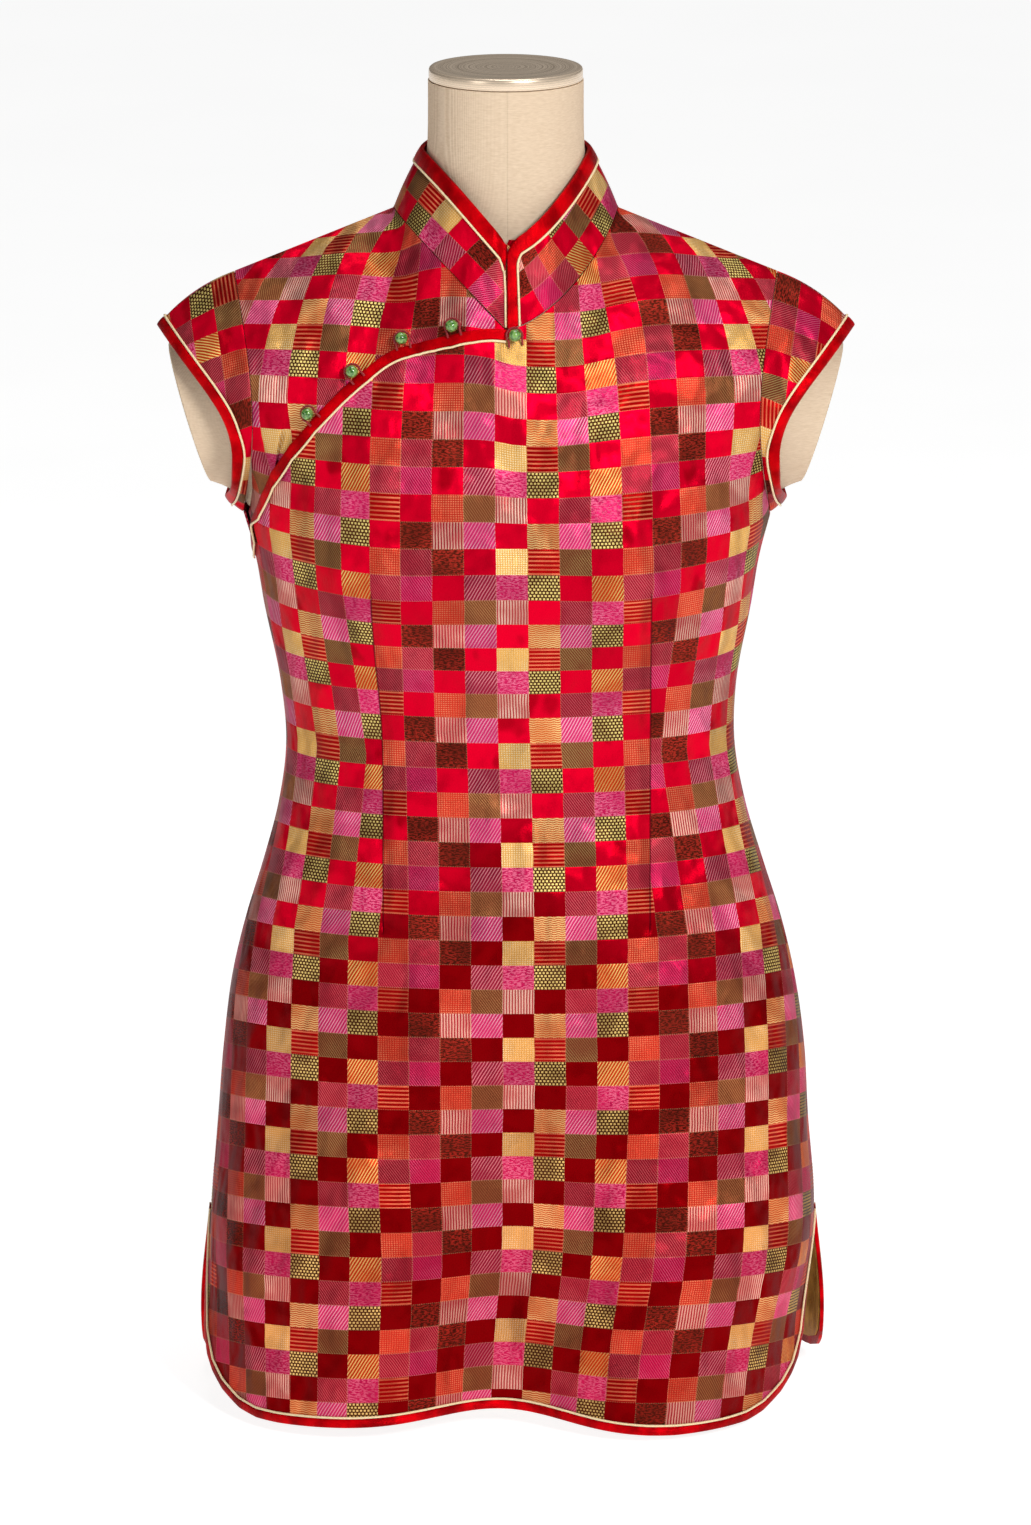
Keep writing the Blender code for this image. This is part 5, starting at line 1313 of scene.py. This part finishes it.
def make_sleeve(hand, word, front_rises, brocade, inner, satin, cord):
    """One cap sleeve with its bound edge."""
    down, over = FINENESS
    shares = refine_line(SLEEVE_SHARES, down)
    front_rises, back_rises = refine_line(front_rises, over), refine_line(UPPER_PANEL_RISES[::-1], over)
    front, front_facing = half_sleeve(FRONT, hand, front_rises, shares)
    back, back_facing = half_sleeve(BACK, hand, back_rises, shares)
    grid = np.concatenate([front, back[:, 1:-1]], axis=1)
    facing = np.concatenate([front_facing, back_facing[1:-1]])
    for column in (0, len(front_rises) - 1):
        grid[:, column, 1] = 0.0
    out = grid_normals(grid, True) * hand
    start = unit(grid[down] - grid[0])
    grid[:down] += start * SLEEVE_GAP * np.linspace(1.0, 0.0, down + 1)[:-1, None, None]
    slant = np.abs((facing * start).sum(axis=1, keepdims=True))
    blend = np.linspace(1.0, 0.0, down + 1)[:, None, None]
    seam_out = unit(facing * (1.0 - slant) + out[0] * slant)
    out[:down + 1] = unit(seam_out * blend + out[:down + 1] * (1 - blend))
    length = distances(grid)
    chart = np.stack([np.broadcast_to(distances(grid[-1]), length.shape) * hand, length], axis=-1)
    cloth = Cloth(grid, out, chart, closed=True)
    piece = cloth_wall("sleeve_cloth_" + word, cloth, WALL, brocade, inner, "sleeve_" + word)
    columns = range(grid.shape[1] // over)
    last = len(SLEEVE_SHARES) - 1
    edge = [(last, column) for column in columns]
    inside = [(last - 1, column) for column in columns]
    trims = [cloth.bind("armhole_" + word, edge, inside, satin),
             cloth.pipe("armhole_" + word, edge, inside, cord, GAP)]
    declare(cloth)


# ---------------------------------------------------------------- collar
def collar_top(side, hand=1.0):
    """Half of the collar's top edge, from the centre line to the side, as if on the left."""
    angle = QUARTER_TURN
    deep, height = COLLAR_TOP_FRONT if side == FRONT else COLLAR_TOP_BACK
    power = 1.25 if side == FRONT else 1.0
    share = np.sin(angle) ** power
    across = COLLAR_TOP_SIDE[0] * np.cos(angle) ** power
    reach = across / COLLAR_TOP_SIDE[0]
    fall = share ** 1.35
    if side == FRONT:
        fall = (1.0 - reach) ** COLLAR_V if hand < 0 else 1.0 - reach ** COLLAR_ROUND
    rise = COLLAR_TOP_SIDE[1] + (height - COLLAR_TOP_SIDE[1]) * fall
    return np.stack([across, side * deep * share, rise], axis=1)


def around_neck(half_line):
    """A line round the neck from the right front centre, by the back, to the left front centre."""
    left = np.concatenate([half_line(BACK), half_line(FRONT)[::-1][1:]])
    right = np.concatenate([half_line(FRONT, -1.0), half_line(BACK)[::-1][1:]])
    return np.concatenate([right * np.array([-1.0, 1.0, 1.0]), left[1:]])


def quarter_knots(half_line):
    """Distances round a neck line where its front halves and back halves end."""
    quarters = [half_line(FRONT, -1.0), half_line(BACK), half_line(BACK), half_line(FRONT)]
    return np.cumsum([0.0] + [length_of(line) for line in quarters])


RIGHT_END = (-0.0012, 0.0036, 0.0084, 0.0125)      # collar columns by distance from the centre
LEFT_END = (0.0014, 0.0050, BINDING_WIDTH + 0.0014, 0.0139)
# Inside line of the binding round the left end's corner: row, and columns in from the end.
COLLAR_CORNER_LINE = ((2, 2.75), (1.97, 2.3), (1.90, 2.06), (1.75, 2), (1, 2), (0, 2))
COLLAR_BOUND_FROM = 2          # coarse column where the binding starts, past the covered end


def make_collar(brocade, inner, satin, cord):
    """The standing collar, whose left front end laps over its right one."""
    down, over = FINENESS
    base_line, top_line = around_neck(neck_seam), around_neck(collar_top)
    knots, top_knots = quarter_knots(neck_seam), quarter_knots(collar_top)
    length, back_half = knots[-1], knots[2] - knots[1]
    shares = np.array(NECK_TURNS) / NECK_TURN
    halves = []
    for ends, front_half in ((RIGHT_END, knots[1]), (LEFT_END, length - knots[3])):
        front = front_half * shares[2:]
        back = front_half + back_half * (1.0 - shares[::-1][1:])
        halves.append(np.concatenate([ends, front, back]))
    right, left = halves[0], length - halves[1][:-1][::-1]
    coarse = np.concatenate([-np.array([COLLAR_OVERLAP, COLLAR_OVERLAP / 2]), right, left])
    places = refine_line(coarse, over)
    mirror = np.where((places < 0)[:, None], [[-1.0, 1.0, 1.0]], 1.0)
    base = along(base_line, np.abs(places) / length) * mirror
    top = along(top_line, np.interp(np.abs(places), knots, top_knots) / top_knots[-1]) * mirror
    from_end = np.minimum(places + COLLAR_OVERLAP, length - places)
    drop = corner_drop(from_end, COLLAR_CORNER)
    upward = unit(top - base)
    top = top - upward * drop[:, None]
    base = base + upward * COLLAR_GAP
    height = np.linalg.norm(top - base, axis=1, keepdims=True)
    bow = unit(np.cross(upward, np.gradient(base, axis=0))) * COLLAR_BOW
    slant = np.linalg.norm(np.cross(upward, course_of(top, False)), axis=1, keepdims=True)
    bound = 1 - COLLAR_BINDING_WIDTH / (height * np.maximum(slant, COLLAR_LEAST_SLANT))
    rows = []
    for step in np.linspace(0, 3, 3 * down + 1):
        share = bound * min(step / 2, 1.0) + (1 - bound) * max(step - 2.0, 0.0)
        rows.append(base + (top - base) * share + bow * 4 * share * (1 - share))
    grid = np.array(rows)
    out = grid_normals(grid, False)
    tuck = (WALL + 2 * GAP) * ease((COLLAR_TUCK["reach"] - places) / COLLAR_TUCK["spread"])
    grid = grid - out * tuck[None, :, None]
    up = distances(grid)
    course = course_of(base, False)
    lean = (upward * course).sum(axis=1)
    square = np.linalg.norm(np.cross(upward, course), axis=1)
    chart = np.stack([places + up * lean, 2 * COLLAR_CELL[1] - up * square], axis=-1)
    cloth = Cloth(grid, out, chart)
    piece = cloth_wall("collar_cloth", cloth, WALL, brocade, inner, "collar")
    last = len(coarse) - 1
    first = COLLAR_BOUND_FROM
    edge = [(3, column) for column in range(first, last + 1)] + [(row, last) for row in (2, 1, 0)]
    inside = [(2, column) for column in range(first, last - 2)]
    inside += [(row, last - column) for row, column in COLLAR_CORNER_LINE]
    trims = [cloth.bind("collar", edge, inside, satin, 2 * GAP)]
    columns = range(first + 1, last - 2)
    edge = [(row, 0) for row in (0, 1, 2)] + [(3, column) for column in columns] + edge[-6:]
    inside = ([(0, first), (1, first), (1.8, first + 0.3)] + [(2, column) for column in columns]
              + inside[-6:])
    trims.append(cloth.pipe("collar", edge, inside, cord))
    declare(cloth)


def make_collar_tab(satin):
    """The padded satin tab behind the notch where the collar's two ends meet."""
    slope = (NECK_FRONT[0] - COLLAR_TOP_FRONT[0]) / (COLLAR_TOP_FRONT[1] - NECK_FRONT[1])
    sides = 20
    rings = []
    for step in np.linspace(0.0, 1.0, 14):
        height = TAB["heights"][0] + (TAB["heights"][2] - TAB["heights"][0]) * step
        half = float(np.interp(height, TAB["heights"], TAB["halves"]))
        close = math.sin(math.pi * min(max(step, 0.04), 0.96)) ** 0.4
        angle = np.arange(sides) * 2 * math.pi / sides
        fold = 1.0 - 0.35 * math.exp(-((step - 0.55) / 0.10) ** 2) * np.exp(-(np.cos(angle) / 0.35) ** 2)
        across = TAB["centre"] + half * close * np.cos(angle)
        forward = COLLAR_TOP_FRONT[0] + slope * (COLLAR_TOP_FRONT[1] - height) - TAB["behind"]
        forward = forward - TAB["wall"] / 2 + TAB["wall"] / 2 * np.sin(angle) * fold * close
        rings.append(np.stack([across, -forward, np.full(sides, height)], axis=1))
    rings = np.array(rings)
    sweep("collar_tab_satin", rings.mean(axis=1), rings, satin, "collar_tab")


# ---------------------------------------------------------------- buttons
LOOP_ENDS = 0.5                # how far past half a circle the loop goes round its bead, in radians


def edge_point(turn, out=0.0):
    """A point of the opening's edge, or of the neck seam to the left of it."""
    rise = opening_rise(np.array([turn]))
    return on_surface(FRONT, plumb(np.array([turn]), rise), rise, out)[0]


def make_button(number, turn, outside, jade, satin):
    """A bead at the opening's edge, and the cord loop that holds it to the binding."""
    here = edge_point(turn)
    course = unit(edge_point(turn - 0.02) - edge_point(turn + 0.02))
    nearby = (turn - 0.04, turn, turn + 0.04)
    out = unit(sum(edge_point(near, PROBE) - edge_point(near) for near in nearby))
    away = unit(np.cross(course, out))
    away = away if away[2] > 0 else -away
    seat = 5 * GAP if outside > 0 else GAP + TRIM_WALL + LOOP_RADIUS
    centre = here + away * outside + out * (BUTTON_RADIUS + seat)
    shape = bmesh.new()
    bmesh.ops.create_uvsphere(shape, u_segments=32, v_segments=20, radius=BUTTON_RADIUS)
    bmesh.ops.translate(shape, verts=shape.verts, vec=tuple(centre))
    add_shape(f"bead_{number}", shape, jade, f"button_{number}")
    angles = np.linspace(-LOOP_ENDS, math.pi + LOOP_ENDS, 25)
    reach = np.cos(angles)[:, None] * course + np.sin(angles)[:, None] * away
    height = 2 * LOOP_RADIUS + 5 * GAP + TRIM_WALL
    low = here + away * outside + out * height
    points = low + reach * (BUTTON_RADIUS + LOOP_RADIUS + GAP)
    seated = LOOP_RADIUS + GAP + (TRIM_WALL + GAP if outside > 0 else 0.0)
    ends = points[[0, -1]] - away * LOOP_LEG + out * (seated - height)
    points = np.concatenate([ends[:1], points, ends[1:]])
    cord_along(f"bead_loop_{number}", points, LOOP_RADIUS, satin, f"button_loop_{number}")


# ---------------------------------------------------------------- dress form
FORM_TURNS = np.concatenate([-np.linspace(1.0, NECK_TURN, 17)[:-1],
                             np.linspace(-NECK_TURN, NECK_TURN, 25), np.linspace(NECK_TURN, 1.0, 17)[1:]])
NECK_SPAN = np.abs(FORM_TURNS) <= NECK_TURN + 1e-9


def level_line(side, half, deep, height):
    """Front or back half of a level section of the form."""
    angle = FORM_TURNS * math.pi / 2
    return np.stack([half * np.sin(angle), side * deep * np.cos(angle), np.full(len(angle), height)], axis=1)


def under_dress(side, rise):
    """A line of the form beneath the dress: close to it along the shoulders, clear elsewhere."""
    close = ease((rise - 1.5) / 0.45) * ease((np.abs(FORM_TURNS) - 0.28) / 0.24)
    depth = WALL + FORM_CLEAR + (FORM_REST - FORM_CLEAR) * close
    return on_surface(side, FORM_TURNS, np.full(len(FORM_TURNS), rise), -depth)


def neck_line(side, start, share):
    """A line round the neck at a share of the way from its root to its top."""
    angle = FORM_TURNS[NECK_SPAN] / NECK_TURN * math.pi / 2
    top = np.stack([NECK_RADIUS * np.sin(angle), side * NECK_RADIUS * np.cos(angle),
                    np.full(len(angle), CAP_HEIGHTS[0] - GAP)], axis=1)
    narrowed = 1.0 - (1.0 - share) ** 5
    plan = start + (top - start) * narrowed
    plan[:, 2] = start[:, 2] + (top[:, 2] - start[:, 2]) * share
    return plan


def stub_lines(loop):
    """Loops of an arm stub, from the armhole to its flat end."""
    bottom, top = loop[:, 2].min(), loop[:, 2].max()
    share = (loop[:, 2] - bottom) / (top - bottom)
    hand = np.sign(loop[0, 0])
    end = np.stack([hand * (STUB_BOTTOM[0] + (STUB_TOP[0] - STUB_BOTTOM[0]) * share),
                    np.sign(loop[:, 1]) * STUB_HALF_DEPTH * 2 * np.sqrt(share * (1 - share)),
                    STUB_BOTTOM[1] + (STUB_TOP[1] - STUB_BOTTOM[1]) * share], axis=1)
    lines = []
    for part in np.linspace(0.0, 1.0, 9):
        line = loop + (end - loop) * part
        lines.append(line + (line.mean(axis=0) - line) * STUB_WAIST * math.sin(math.pi * part))
    inset = end + (end.mean(axis=0) - end) * STUB_END_INSET + np.array([hand * STUB_END_DOME, 0.0, 0.0])
    return lines + [inset]


def strips_between(lines, closed=False):
    """Faces between neighbouring lines of points."""
    faces = []
    for first, second in zip(lines[:-1], lines[1:]):
        for step in range(len(first) if closed else len(first) - 1):
            after = (step + 1) % len(first)
            faces.append([first[step], first[after], second[after], second[step]])
    return faces


def make_form(linen):
    """The limbless form, with its neck and two arm stubs in one body."""
    heights = refine_line(FORM_HEIGHTS, FORM_FINENESS)
    half, forward, backward = (read_table(FORM_SECTIONS, FORM_COLUMNS, name, heights)
                               for name in FORM_COLUMNS[1:])
    sides = {}
    for side, deep in ((FRONT, forward), (BACK, backward)):
        sides[side] = [level_line(side, *sizes) for sizes in zip(half, deep, heights)]
        sides[side] += [under_dress(side, rise) for rise in refine_line(FORM_RISES, FORM_FINENESS)]
    under = len(heights) + FORM_FINENESS
    for front, back in zip(sides[FRONT][:under + 1], sides[BACK][:under + 1]):
        for end in (0, -1):
            front[end] = back[end] = (front[end] + back[end]) / 2 * [1.0, 0.0, 1.0]
    front, back = sides[FRONT][-1], sides[BACK][-1]
    seam = np.abs(FORM_TURNS) >= NECK_TURN - 1e-9
    front[seam] = (front[seam] + back[seam]) / 2 * [1.0, 0.0, 1.0]
    back[seam] = front[seam]
    faces = []
    neck_loop = []
    for side in (FRONT, BACK):
        faces += strips_between(sides[side])
        root = sides[side][-1][NECK_SPAN]
        neck = [neck_line(side, root, share) for share in refine_line(NECK_SHARES, FORM_FINENESS)]
        faces += strips_between(neck)
        neck_loop.append(neck[-1])
    for column in (0, -1):
        front_edge = [line[column] for line in sides[FRONT][under:]]
        back_edge = [line[column] for line in sides[BACK][under:]]
        loop = np.array(front_edge + back_edge[-2:0:-1])
        lines = stub_lines(loop)
        faces += strips_between(lines, closed=True)
        faces.append(list(lines[-1]))
    faces.append([*sides[FRONT][0], *sides[BACK][0][-2:0:-1]])
    faces.append([*neck_loop[0], *neck_loop[1][-2:0:-1]])
    shape = bmesh.new()
    for face in faces:
        shape.faces.new([shape.verts.new(point) for point in face])
    bmesh.ops.remove_doubles(shape, verts=shape.verts, dist=1e-5)
    bmesh.ops.recalc_face_normals(shape, faces=shape.faces)
    add_shape("form_body", shape, linen, "form_torso")


def make_cap(steel):
    """The steel cap of the form's neck."""
    low, high = CAP_HEIGHTS
    outline = [(0.0, low)] + [(CAP_RADIUS - into, low + up) for into, up in CAP_FOOT]
    outline += [(CAP_RADIUS - into, high - down) for into, down in CAP_TOP] + [(0.0, high - CAP_TOP[-1][1])]
    shape = bmesh.new()
    points = [shape.verts.new((radius, 0.0, height)) for radius, height in outline]
    edges = [shape.edges.new(pair) for pair in zip(points[:-1], points[1:])]
    bmesh.ops.spin(shape, geom=points + edges, cent=(0, 0, 0), axis=(0, 0, 1), angle=2 * math.pi, steps=96)
    bmesh.ops.remove_doubles(shape, verts=shape.verts, dist=1e-6)
    bmesh.ops.recalc_face_normals(shape, faces=shape.faces)
    add_shape("neck_cap", shape, steel, "form_neck_cap")


# ---------------------------------------------------------------- floor, light and camera
FLOOR_REACH = 20
FLOOR_GLOW = 0.88
ROOM_COLOUR = (1.0, 0.99, 0.98, 1.0)
ROOM_GLOW = 0.10
# Each light's place, size and power.
LIGHTS = {
    "key": ((1.8, -3.4, 2.6), 1.0, 136.0),
    "fill": ((-2.4, -2.8, 1.7), 1.0, 15.0),
    "top": ((0.2, 0.0, 3.2), 1.4, 30.0),
}
LIGHT_AIM = (0.0, 0.0, 0.5)
CAMERA = dict(place=(0.00665, -6.0, 1.9814), tilt=75.7, lens=208.81, sensor=36.0)


def make_floor():
    """A pale floor."""
    paint = Finish("floor", 0.9)
    spot, _ = paint.places("Object")
    tone = paint.level(paint.noise(spot, 3.0), 0.3, 0.7, 0.38, 0.42)
    paint.shader.inputs["Emission Color"].default_value = (1.0, 1.0, 1.0, 1.0)
    paint.shader.inputs["Emission Strength"].default_value = FLOOR_GLOW
    mesh = bpy.data.meshes.new("floor")
    corners = [(x * FLOOR_REACH, y * FLOOR_REACH, 0) for x, y in ((-1, -1), (1, -1), (1, 1), (-1, 1))]
    mesh.from_pydata(corners, [], [(0, 1, 2, 3)])
    mesh.materials.append(paint.finish(paint.vector(tone, tone, tone)))
    place_object("floor", mesh)


def make_lights():
    """A pale room and three soft lights."""
    world = bpy.data.worlds.new("pale room")
    world.use_nodes = True
    background = world.node_tree.nodes["Background"]
    background.inputs["Color"].default_value = ROOM_COLOUR
    background.inputs["Strength"].default_value = ROOM_GLOW
    bpy.context.scene.world = world
    for name, (place, size, power) in LIGHTS.items():
        light = bpy.data.lights.new(name, "AREA")
        light.size = size
        light.energy = power
        lamp = place_object(name, light)
        lamp.location = place
        aim = np.array(LIGHT_AIM) - np.array(place)
        lamp.rotation_euler = (math.acos(-aim[2] / np.linalg.norm(aim)), 0.0,
                               math.atan2(aim[1], aim[0]) - math.pi / 2)


def make_camera():
    """The camera, a little above the dress and looking down at it."""
    camera = bpy.data.cameras.new("camera")
    camera.sensor_fit = "VERTICAL"
    camera.sensor_height = CAMERA["sensor"]
    camera.lens = CAMERA["lens"]
    viewer = place_object("camera", camera)
    viewer.location = CAMERA["place"]
    viewer.rotation_euler = (math.radians(CAMERA["tilt"]), 0.0, 0.0)
    bpy.context.scene.camera = viewer
    bpy.context.scene.view_settings.view_transform = "Standard"


# ---------------------------------------------------------------- stitches
STITCH_SIZES = {"Spacing": 0.0024, "Stitch Length": 0.0017, "Thread Radius": 0.00028}
STITCHED = (0.003, 0.032)      # heights above the slit's top between which the seam is stitched
STITCH_INSET = 0.0042          # in from the side seam


def stitch_tree():
    """Running stitches along a seam line."""
    tree = bpy.data.node_groups.new("running stitches", "GeometryNodeTree")
    tree.interface.new_socket("Seam", in_out="INPUT", socket_type="NodeSocketGeometry")
    for name in STITCH_SIZES:
        tree.interface.new_socket(name, in_out="INPUT", socket_type="NodeSocketFloat")
    tree.interface.new_socket("Thread", in_out="INPUT", socket_type="NodeSocketMaterial")
    tree.interface.new_socket("Stitches", in_out="OUTPUT", socket_type="NodeSocketGeometry")
    given = tree.nodes.new("NodeGroupInput").outputs
    seam = tree.nodes.new("GeometryNodeMeshToCurve")
    places = tree.nodes.new("GeometryNodeCurveToPoints")
    places.mode = "LENGTH"
    bead = tree.nodes.new("GeometryNodeMeshUVSphere")
    for name, value in (("Segments", 6), ("Rings", 4), ("Radius", 1.0)):
        bead.inputs[name].default_value = value
    half = tree.nodes.new("ShaderNodeMath")
    half.operation = "MULTIPLY"
    half.inputs[1].default_value = 0.5
    size = tree.nodes.new("ShaderNodeCombineXYZ")
    laid = tree.nodes.new("GeometryNodeInstanceOnPoints")
    real = tree.nodes.new("GeometryNodeRealizeInstances")
    coat = tree.nodes.new("GeometryNodeSetMaterial")
    end = tree.nodes.new("NodeGroupOutput")
    for start, finish in (
            (given["Seam"], seam.inputs["Mesh"]),
            (seam.outputs["Curve"], places.inputs["Curve"]),
            (given["Spacing"], places.inputs["Length"]),
            (given["Stitch Length"], half.inputs[0]),
            (half.outputs[0], size.inputs["Z"]),
            (given["Thread Radius"], size.inputs["X"]),
            (given["Thread Radius"], size.inputs["Y"]),
            (places.outputs["Points"], laid.inputs["Points"]),
            (places.outputs["Rotation"], laid.inputs["Rotation"]),
            (bead.outputs["Mesh"], laid.inputs["Instance"]),
            (size.outputs[0], laid.inputs["Scale"]),
            (laid.outputs[0], real.inputs[0]),
            (real.outputs[0], coat.inputs["Geometry"]),
            (given["Thread"], coat.inputs["Material"]),
            (coat.outputs[0], end.inputs["Stitches"])):
        tree.links.new(start, finish)
    return tree


def sew(name, points, tree, thread):
    """A row of stitches along points."""
    mesh = bpy.data.meshes.new(name)
    mesh.from_pydata(points.tolist(), [(step, step + 1) for step in range(len(points) - 1)], [])
    piece = place_object(name, mesh)
    stitching = piece.modifiers.new("stitches", "NODES")
    stitching.node_group = tree
    given = {**STITCH_SIZES, "Thread": thread}
    for socket in tree.interface.items_tree:
        if socket.name in given:
            stitching[socket.identifier] = given[socket.name]
    graph = bpy.context.evaluated_depsgraph_get()
    sewn = bpy.data.meshes.new_from_object(piece.evaluated_get(graph))
    piece.modifiers.remove(stitching)
    piece.data = sewn
    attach(piece, "root")


def sew_side_seams(thread):
    """Hand stitches that strengthen each side seam above its slit."""
    tree = stitch_tree()
    heights = np.linspace(SLIT_TOP + STITCHED[0], SLIT_TOP + STITCHED[1], 9)
    for word, hand in (("right", -1.0), ("left", 1.0)):
        turns = np.full(len(heights), hand * (1.0 - STITCH_INSET / half_girth(FRONT, SLIT_TOP)))
        points = on_surface(FRONT, turns, (heights - HEM) / (UNDERARM - HEM), 0.0001)
        sew("slit_stitches_" + word, points, tree, thread)


# ---------------------------------------------------------------- main
brocade = brocade_finish("checked brocade", (CELL_WIDTH, CELL_HEIGHT))
darted = brocade_finish("checked brocade with darts", (CELL_WIDTH, CELL_HEIGHT), darted=True)
sleeve_brocade = brocade_finish("sleeve brocade", (SLEEVE_CELL, SLEEVE_CELL))
collar_brocade = brocade_finish("collar brocade", COLLAR_CELL)
# Each satin and cord is given a lit colour and a shaded colour, for its painted sheen and shade.
satin = satin_finish("binding satin", (214, 0, 12), (140, 0, 6))
facing_satin = satin_finish("facing satin", (176, 4, 22), (120, 0, 12))
gold_satin = satin_finish("lining satin", (206, 160, 84), (160, 116, 50))
gold_cord = cord_finish("gold piping", (255, 244, 206), (232, 196, 138), 0.3)
red_cord = cord_finish("loop cord", (170, 4, 18), (110, 0, 8), 0.4)
jade = jade_finish()

make_form(linen_finish())
make_cap(steel_finish())
make_front(darted, facing_satin, satin, gold_cord)
make_back(brocade, facing_satin, satin, gold_cord, gold_satin)
right_rises = make_underlap(brocade, facing_satin)
make_sleeve(-1.0, "right", right_rises, sleeve_brocade, facing_satin, satin, gold_cord)
make_sleeve(1.0, "left", UPPER_PANEL_RISES, sleeve_brocade, facing_satin, satin, gold_cord)
make_collar(collar_brocade, facing_satin, satin, gold_cord)
make_collar_tab(facing_satin)
for number, (turn, outside) in enumerate(BUTTONS, 1):
    make_button(number, turn, outside, jade, red_cord)
sew_side_seams(thread_finish())
make_floor()
make_lights()
make_camera()
